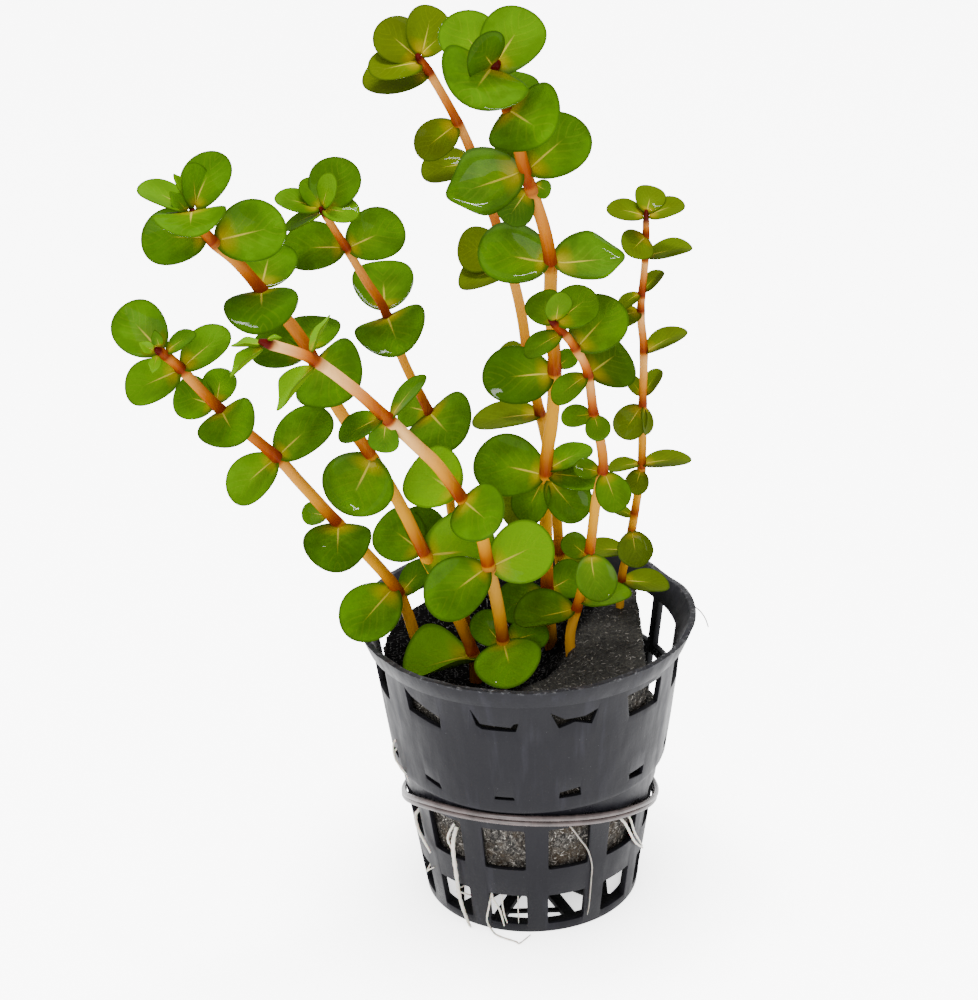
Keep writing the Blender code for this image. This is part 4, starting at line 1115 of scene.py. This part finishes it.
def shape_leaf(mesh, leaf, base, growth, stem_radius, rng):
    """Bends a copy of the blank into one leaf and puts it on the outside of its stem."""
    form = FORMS[leaf.form]
    values = np.empty(len(mesh.vertices) * 3, np.float32)
    mesh.attributes["leaf"].data.foreach_get("vector", values)
    along, across, back = values.reshape(-1, 3).astype(float).T
    reach = np.sqrt(np.maximum(along * (1 - along), 0))
    edge = np.sqrt(np.clip((2 * along - 1) ** 2 + 4 * along * (1 - along) * across ** 2, 0, 1))
    around = np.arctan2(across * reach, along - 0.5)
    half = reach * (0.95 + 0.12 * along) * (1 - form.point * smoothstep(0.55, 1.0, along)) * form.width
    y = across * half * (1 + 0.02 * np.sin(2 * around + rng.uniform(0, 6)))
    x = along - form.lobe * np.abs(across) ** 1.3 * (1 - along) ** 4
    thick = LEAF_THICKNESS / leaf.length * np.sqrt(1 - edge ** RIM_POWER) * (0.8 + 0.5 * (1 - along))
    cup = form.cup * rng.uniform(*CUP_RANGE)
    curl = form.curl * rng.uniform(*CURL_RANGE)
    wave = LEAF_WAVE * np.sin(3 * around + rng.uniform(0, 6)) * edge ** 3
    groove_depth, groove_width = LEAF_GROOVE
    groove = groove_depth * np.exp(-(y / groove_width) ** 2) * (1 - along)
    twist = rng.uniform(*TWIST_RANGE)
    z = cup * 4 * y * y - curl * along * along + wave - groove + twist * y * along
    z += form.rim * edge ** RIM_POWER
    z += np.where(back > 0.5, -0.5, 0.5) * thick
    midrib, side, normal = leaf_axes(leaf)
    outward = midrib - midrib @ growth * growth
    shift = LEAF_OFF_STEM * stem_radius * outward / max(np.linalg.norm(outward), 0.2)
    length = (leaf.length - shift @ midrib) * MM
    places = np.outer(x, midrib) + np.outer(y, side) + np.outer(z, normal)
    set_corners(mesh, (np.array(base) + shift) * MM + length * places)
    tint = form.tint + rng.uniform(*TINT_RANGE)
    set_attribute(mesh, "tint", tint, edge, rng.uniform(0, 1))
    set_attribute(mesh, "stem", form.rim > WET_RIM)


def make_stem(shoot, leaves, points):
    """A tapering stem with a blunt bud, a little thicker at each node, and what its material reads."""
    nodes = np.array(sorted({leaf.height for leaf in leaves}))
    nodes = nodes[np.r_[True, np.diff(nodes) > NODE_DISTANCE]]
    heights = np.array([point.z for point in points])
    share = np.linspace(0, 1, len(points))
    distance = np.abs(heights[:, None] - nodes[None]).min(1)
    swell = 1 + NODE_SWELL * np.exp(-(distance / NODE_REACH) ** 2)
    radii = shoot.radius * (1 - STEM_TAPER * share ** 3) * swell
    radii[-2:] *= shoot.bud
    radii[-1] *= BUD_END
    below = np.array([max(nodes[nodes <= height], default=STEM_FOOT - 6) for height in heights])
    above = np.array([min(nodes[nodes > height], default=heights[-1] + 8) for height in heights])
    between_nodes = np.clip((heights - below) / np.maximum(above - below, 4.0), 0, 1)
    stem = tube(shoot.name + "_stem", points, radii, 4)
    line = np.array([tuple(point * MM) for point in points])
    nearest = ((corners(stem.data)[:, None, :] - line[None]) ** 2).sum(2).argmin(1)
    ring = np.exp(-(distance / NODE_MARK) ** 2)
    set_attribute(stem.data, "stem", share[nearest], between_nodes[nearest], ring[nearest])
    set_attribute(stem.data, "leaf")
    set_attribute(stem.data, "tint")
    return stem


def make_shoot(shoot, number, blank, settings):
    """A stem with its leaves, as one piece."""
    rng = np.random.default_rng(SHOOT_SEED + number)
    points = smooth_route(shoot.route, STEM_STEPS)
    points = [Vector((points[0].x, points[0].y, STEM_FOOT))] + points
    leaves = [Leaf(*values) for values in shoot.leaves]
    stem = make_stem(shoot, leaves, points)
    paint(stem.data, stem_material(shoot.name + "_stem_skin", shoot.pink))
    leaf_skin = leaf_material(shoot.name + "_leaf_skin", shoot.olive, settings)
    pieces = [stem]
    for leaf in leaves:
        mesh = blank.data.copy()
        paint(mesh, leaf_skin)
        base, growth = point_at_height(points, leaf.height)
        shape_leaf(mesh, leaf, base, np.array(growth), shoot.radius, rng)
        pieces.append(linked("leaf", mesh))
    plant = join(pieces, shoot.name + "_plant")
    shade(plant, 75)
    dress(plant, shoot.slot, shoot.name)


# Roots


def make_strands(strands, name, material):
    """Tubes that taper and waver along their routes on the pot's wall, as one piece."""
    made = []
    for radius, dark, route in strands:
        points = smooth_route([on_wall(*spot) for spot in route], ROUTE_STEPS)
        for point in points:
            point.z = max(point.z, radius + ROOT_OFF_FLOOR)
        count = len(points)
        radii = [radius * (1 - ROOT_TAPER * (step / count) ** 3) * (1 + ROOT_UNEVEN * sin(step * 2.1))
                 for step in range(count)]
        strand = tube("strand", points, radii, 2)
        set_attribute(strand.data, "root_tone", dark)
        made.append(strand)
    item = join(made, name)
    paint(item.data, material)
    shade(item, 70)
    return item


def make_fine_roots(material):
    """The finer roots and the hair, which no solid stands for."""
    item = make_strands(FINE_ROOTS, "fine_roots", material)
    points = smooth_route(HAIR, ROUTE_STEPS)
    hair = tube("hair", points, [HAIR_RADIUS] * len(points), 1)
    set_attribute(hair.data, "root_tone", 1.0)
    paint(hair.data, material)
    dress(join([item, hair], "fine_roots"), "root")


# The stage


def make_studio_light(settings):
    """Even light from all sides, and two strips and a soft light from above and in front."""
    world = bpy.data.worlds.new("studio")
    bpy.context.scene.world = world
    world.use_nodes = True
    background = world.node_tree.nodes["Background"]
    background.inputs["Color"].default_value = WHITE
    seen = world.node_tree.nodes.new("ShaderNodeLightPath").outputs["Is Camera Ray"]
    strength = world.node_tree.nodes.new("ShaderNodeMath")
    strength.operation = "MULTIPLY_ADD"
    strength.inputs[1].default_value = settings.paper_glow
    strength.inputs[2].default_value = settings.sky
    world.node_tree.links.new(seen, strength.inputs[0])
    world.node_tree.links.new(strength.outputs["Value"], background.inputs["Strength"])
    for name, place, size in LIGHTS:
        deselect_all()
        bpy.ops.object.light_add(type="AREA", location=place)
        light = named(name)
        light.data.shape = "RECTANGLE"
        light.data.size, light.data.size_y = size
        light.data.energy = settings.key
        light.rotation_euler = (Vector(place) - Vector(LIGHT_AIM)).to_track_quat("Z", "Y").to_euler()


def make_camera():
    """The camera, where the photograph was taken from."""
    deselect_all()
    bpy.ops.object.camera_add(location=Vector(CAMERA_PLACE) * MM)
    camera = named("camera")
    camera.data.lens = CAMERA_LENS
    camera.data.sensor_width = CAMERA_SENSOR
    camera.rotation_euler = (Matrix.Rotation(radians(90 - CAMERA_PITCH), 3, "X")
                             @ Matrix.Rotation(radians(CAMERA_ROLL), 3, "Z")).to_euler()
    bpy.context.scene.camera = camera


def make_stage(settings):
    """The paper floor, the lights and the camera."""
    floor = primitive("floor", bpy.ops.mesh.primitive_plane_add, size=FLOOR_SIZE,
                      location=(0, 0, -FLOOR_DROP))
    paint(floor.data, floor_material(settings))
    make_studio_light(settings)
    make_camera()


# The add-on


class RotalaPotSettings(bpy.types.PropertyGroup):
    """Colours of the pot, its wool and its band."""
    plastic: FloatVectorProperty(name="Plastic", description="Moulded plastic's colour", subtype="COLOR",
                                 default=(0.0098, 0.0096, 0.013))
    wool: FloatVectorProperty(name="Wool", description="Rock wool's colour", subtype="COLOR",
                              default=(0.3, 0.28, 0.25))
    rubber: FloatVectorProperty(name="Rubber", description="Rubber band's colour", subtype="COLOR",
                                default=(0.115, 0.086, 0.082))
    fibres: IntProperty(name="Fibres", description="Number of loose fibres on the wool",
                        default=14000, min=0)


class RotalaPlantSettings(bpy.types.PropertyGroup):
    """Colours of the plant."""
    leaf: FloatVectorProperty(name="Leaf", description="Grown leaf's green", subtype="COLOR",
                              default=(0.062, 0.165, 0.0005))
    # The green that lighter leaves move towards, for young leaves and for painted light
    young_and_lit: FloatVectorProperty(name="Young leaf", description="Young leaf's green", subtype="COLOR",
                               default=(0.13, 0.3, 0.0006))
    root: FloatVectorProperty(name="Root", description="Live root's white", subtype="COLOR",
                              default=(0.8, 0.76, 0.66))


class RotalaStageSettings(bpy.types.PropertyGroup):
    """The floor and the lights."""
    paper: FloatVectorProperty(name="Paper", description="Floor's colour", subtype="COLOR",
                               default=(0.94, 0.94, 0.95))
    paper_light: FloatProperty(name="Paper light", description="Light through the floor",
                               default=1.0, min=0)
    paper_glow: FloatProperty(name="Paper glow", description="How white the paper looks",
                              default=6.0, min=0)
    sky: FloatProperty(name="Sky", description="Strength of the light from all sides", default=1.15, min=0)
    key: FloatProperty(name="Key light", description="Power of each lamp", default=3.2, min=0, unit="POWER")


class ROTALA_OT_pot(bpy.types.Operator):
    """Makes the net pot"""
    bl_idname = "rotala.pot"
    bl_label = "Net pot"

    def execute(self, context):
        make_pot(context.scene.rotala_pot)
        return {"FINISHED"}


class ROTALA_OT_wool(bpy.types.Operator):
    """Makes the rock wool plug"""
    bl_idname = "rotala.wool"
    bl_label = "Rock wool"

    def execute(self, context):
        make_wool(context.scene.rotala_pot)
        return {"FINISHED"}


class ROTALA_OT_band(bpy.types.Operator):
    """Makes the rubber band"""
    bl_idname = "rotala.band"
    bl_label = "Rubber band"

    def execute(self, context):
        make_band(context.scene.rotala_pot)
        return {"FINISHED"}


class ROTALA_OT_shoots(bpy.types.Operator):
    """Makes the leafy shoots"""
    bl_idname = "rotala.shoots"
    bl_label = "Shoots"

    def execute(self, context):
        blank = leaf_blank()
        for number, shoot in enumerate(SHOOTS):
            make_shoot(shoot, number, blank, context.scene.rotala_plant)
        bpy.data.objects.remove(blank, do_unlink=True)
        return {"FINISHED"}


class ROTALA_OT_roots(bpy.types.Operator):
    """Makes the roots"""
    bl_idname = "rotala.roots"
    bl_label = "Roots"

    def execute(self, context):
        material = root_material(context.scene.rotala_plant)
        for root in ROOTS:
            dress(make_strands(root.strands, root.name + "_strands", material), "root", root.name)
        make_fine_roots(material)
        return {"FINISHED"}


class ROTALA_OT_stage(bpy.types.Operator):
    """Makes the floor, the lights and the camera"""
    bl_idname = "rotala.stage"
    bl_label = "Stage"

    def execute(self, context):
        make_stage(context.scene.rotala_stage)
        return {"FINISHED"}


OPERATORS = (ROTALA_OT_pot, ROTALA_OT_wool, ROTALA_OT_band, ROTALA_OT_shoots, ROTALA_OT_roots,
             ROTALA_OT_stage)


class ROTALA_PT_panel(bpy.types.Panel):
    """Lists the pieces in the order they are made"""
    bl_idname = "ROTALA_PT_panel"
    bl_label = "Potted Dwarf Rotala"
    bl_space_type = "VIEW_3D"
    bl_region_type = "UI"
    bl_category = "Rotala"

    def draw(self, context):
        scene = context.scene
        for settings in (scene.rotala_pot, scene.rotala_plant, scene.rotala_stage):
            for key in settings.__annotations__:
                self.layout.prop(settings, key)
        for operator in OPERATORS:
            self.layout.operator(operator.bl_idname)


CLASSES = (RotalaPotSettings, RotalaPlantSettings, RotalaStageSettings, *OPERATORS, ROTALA_PT_panel)


def register():
    for item in CLASSES:
        bpy.utils.register_class(item)
    bpy.types.Scene.rotala_pot = PointerProperty(type=RotalaPotSettings)
    bpy.types.Scene.rotala_plant = PointerProperty(type=RotalaPlantSettings)
    bpy.types.Scene.rotala_stage = PointerProperty(type=RotalaStageSettings)


def unregister():
    del bpy.types.Scene.rotala_stage
    del bpy.types.Scene.rotala_plant
    del bpy.types.Scene.rotala_pot
    for item in reversed(CLASSES):
        bpy.utils.unregister_class(item)


def main():
    register()
    bpy.ops.rotala.pot()
    bpy.ops.rotala.wool()
    bpy.ops.rotala.band()
    bpy.ops.rotala.shoots()
    bpy.ops.rotala.roots()
    bpy.ops.rotala.stage()


if __name__ == "__main__":
    main()
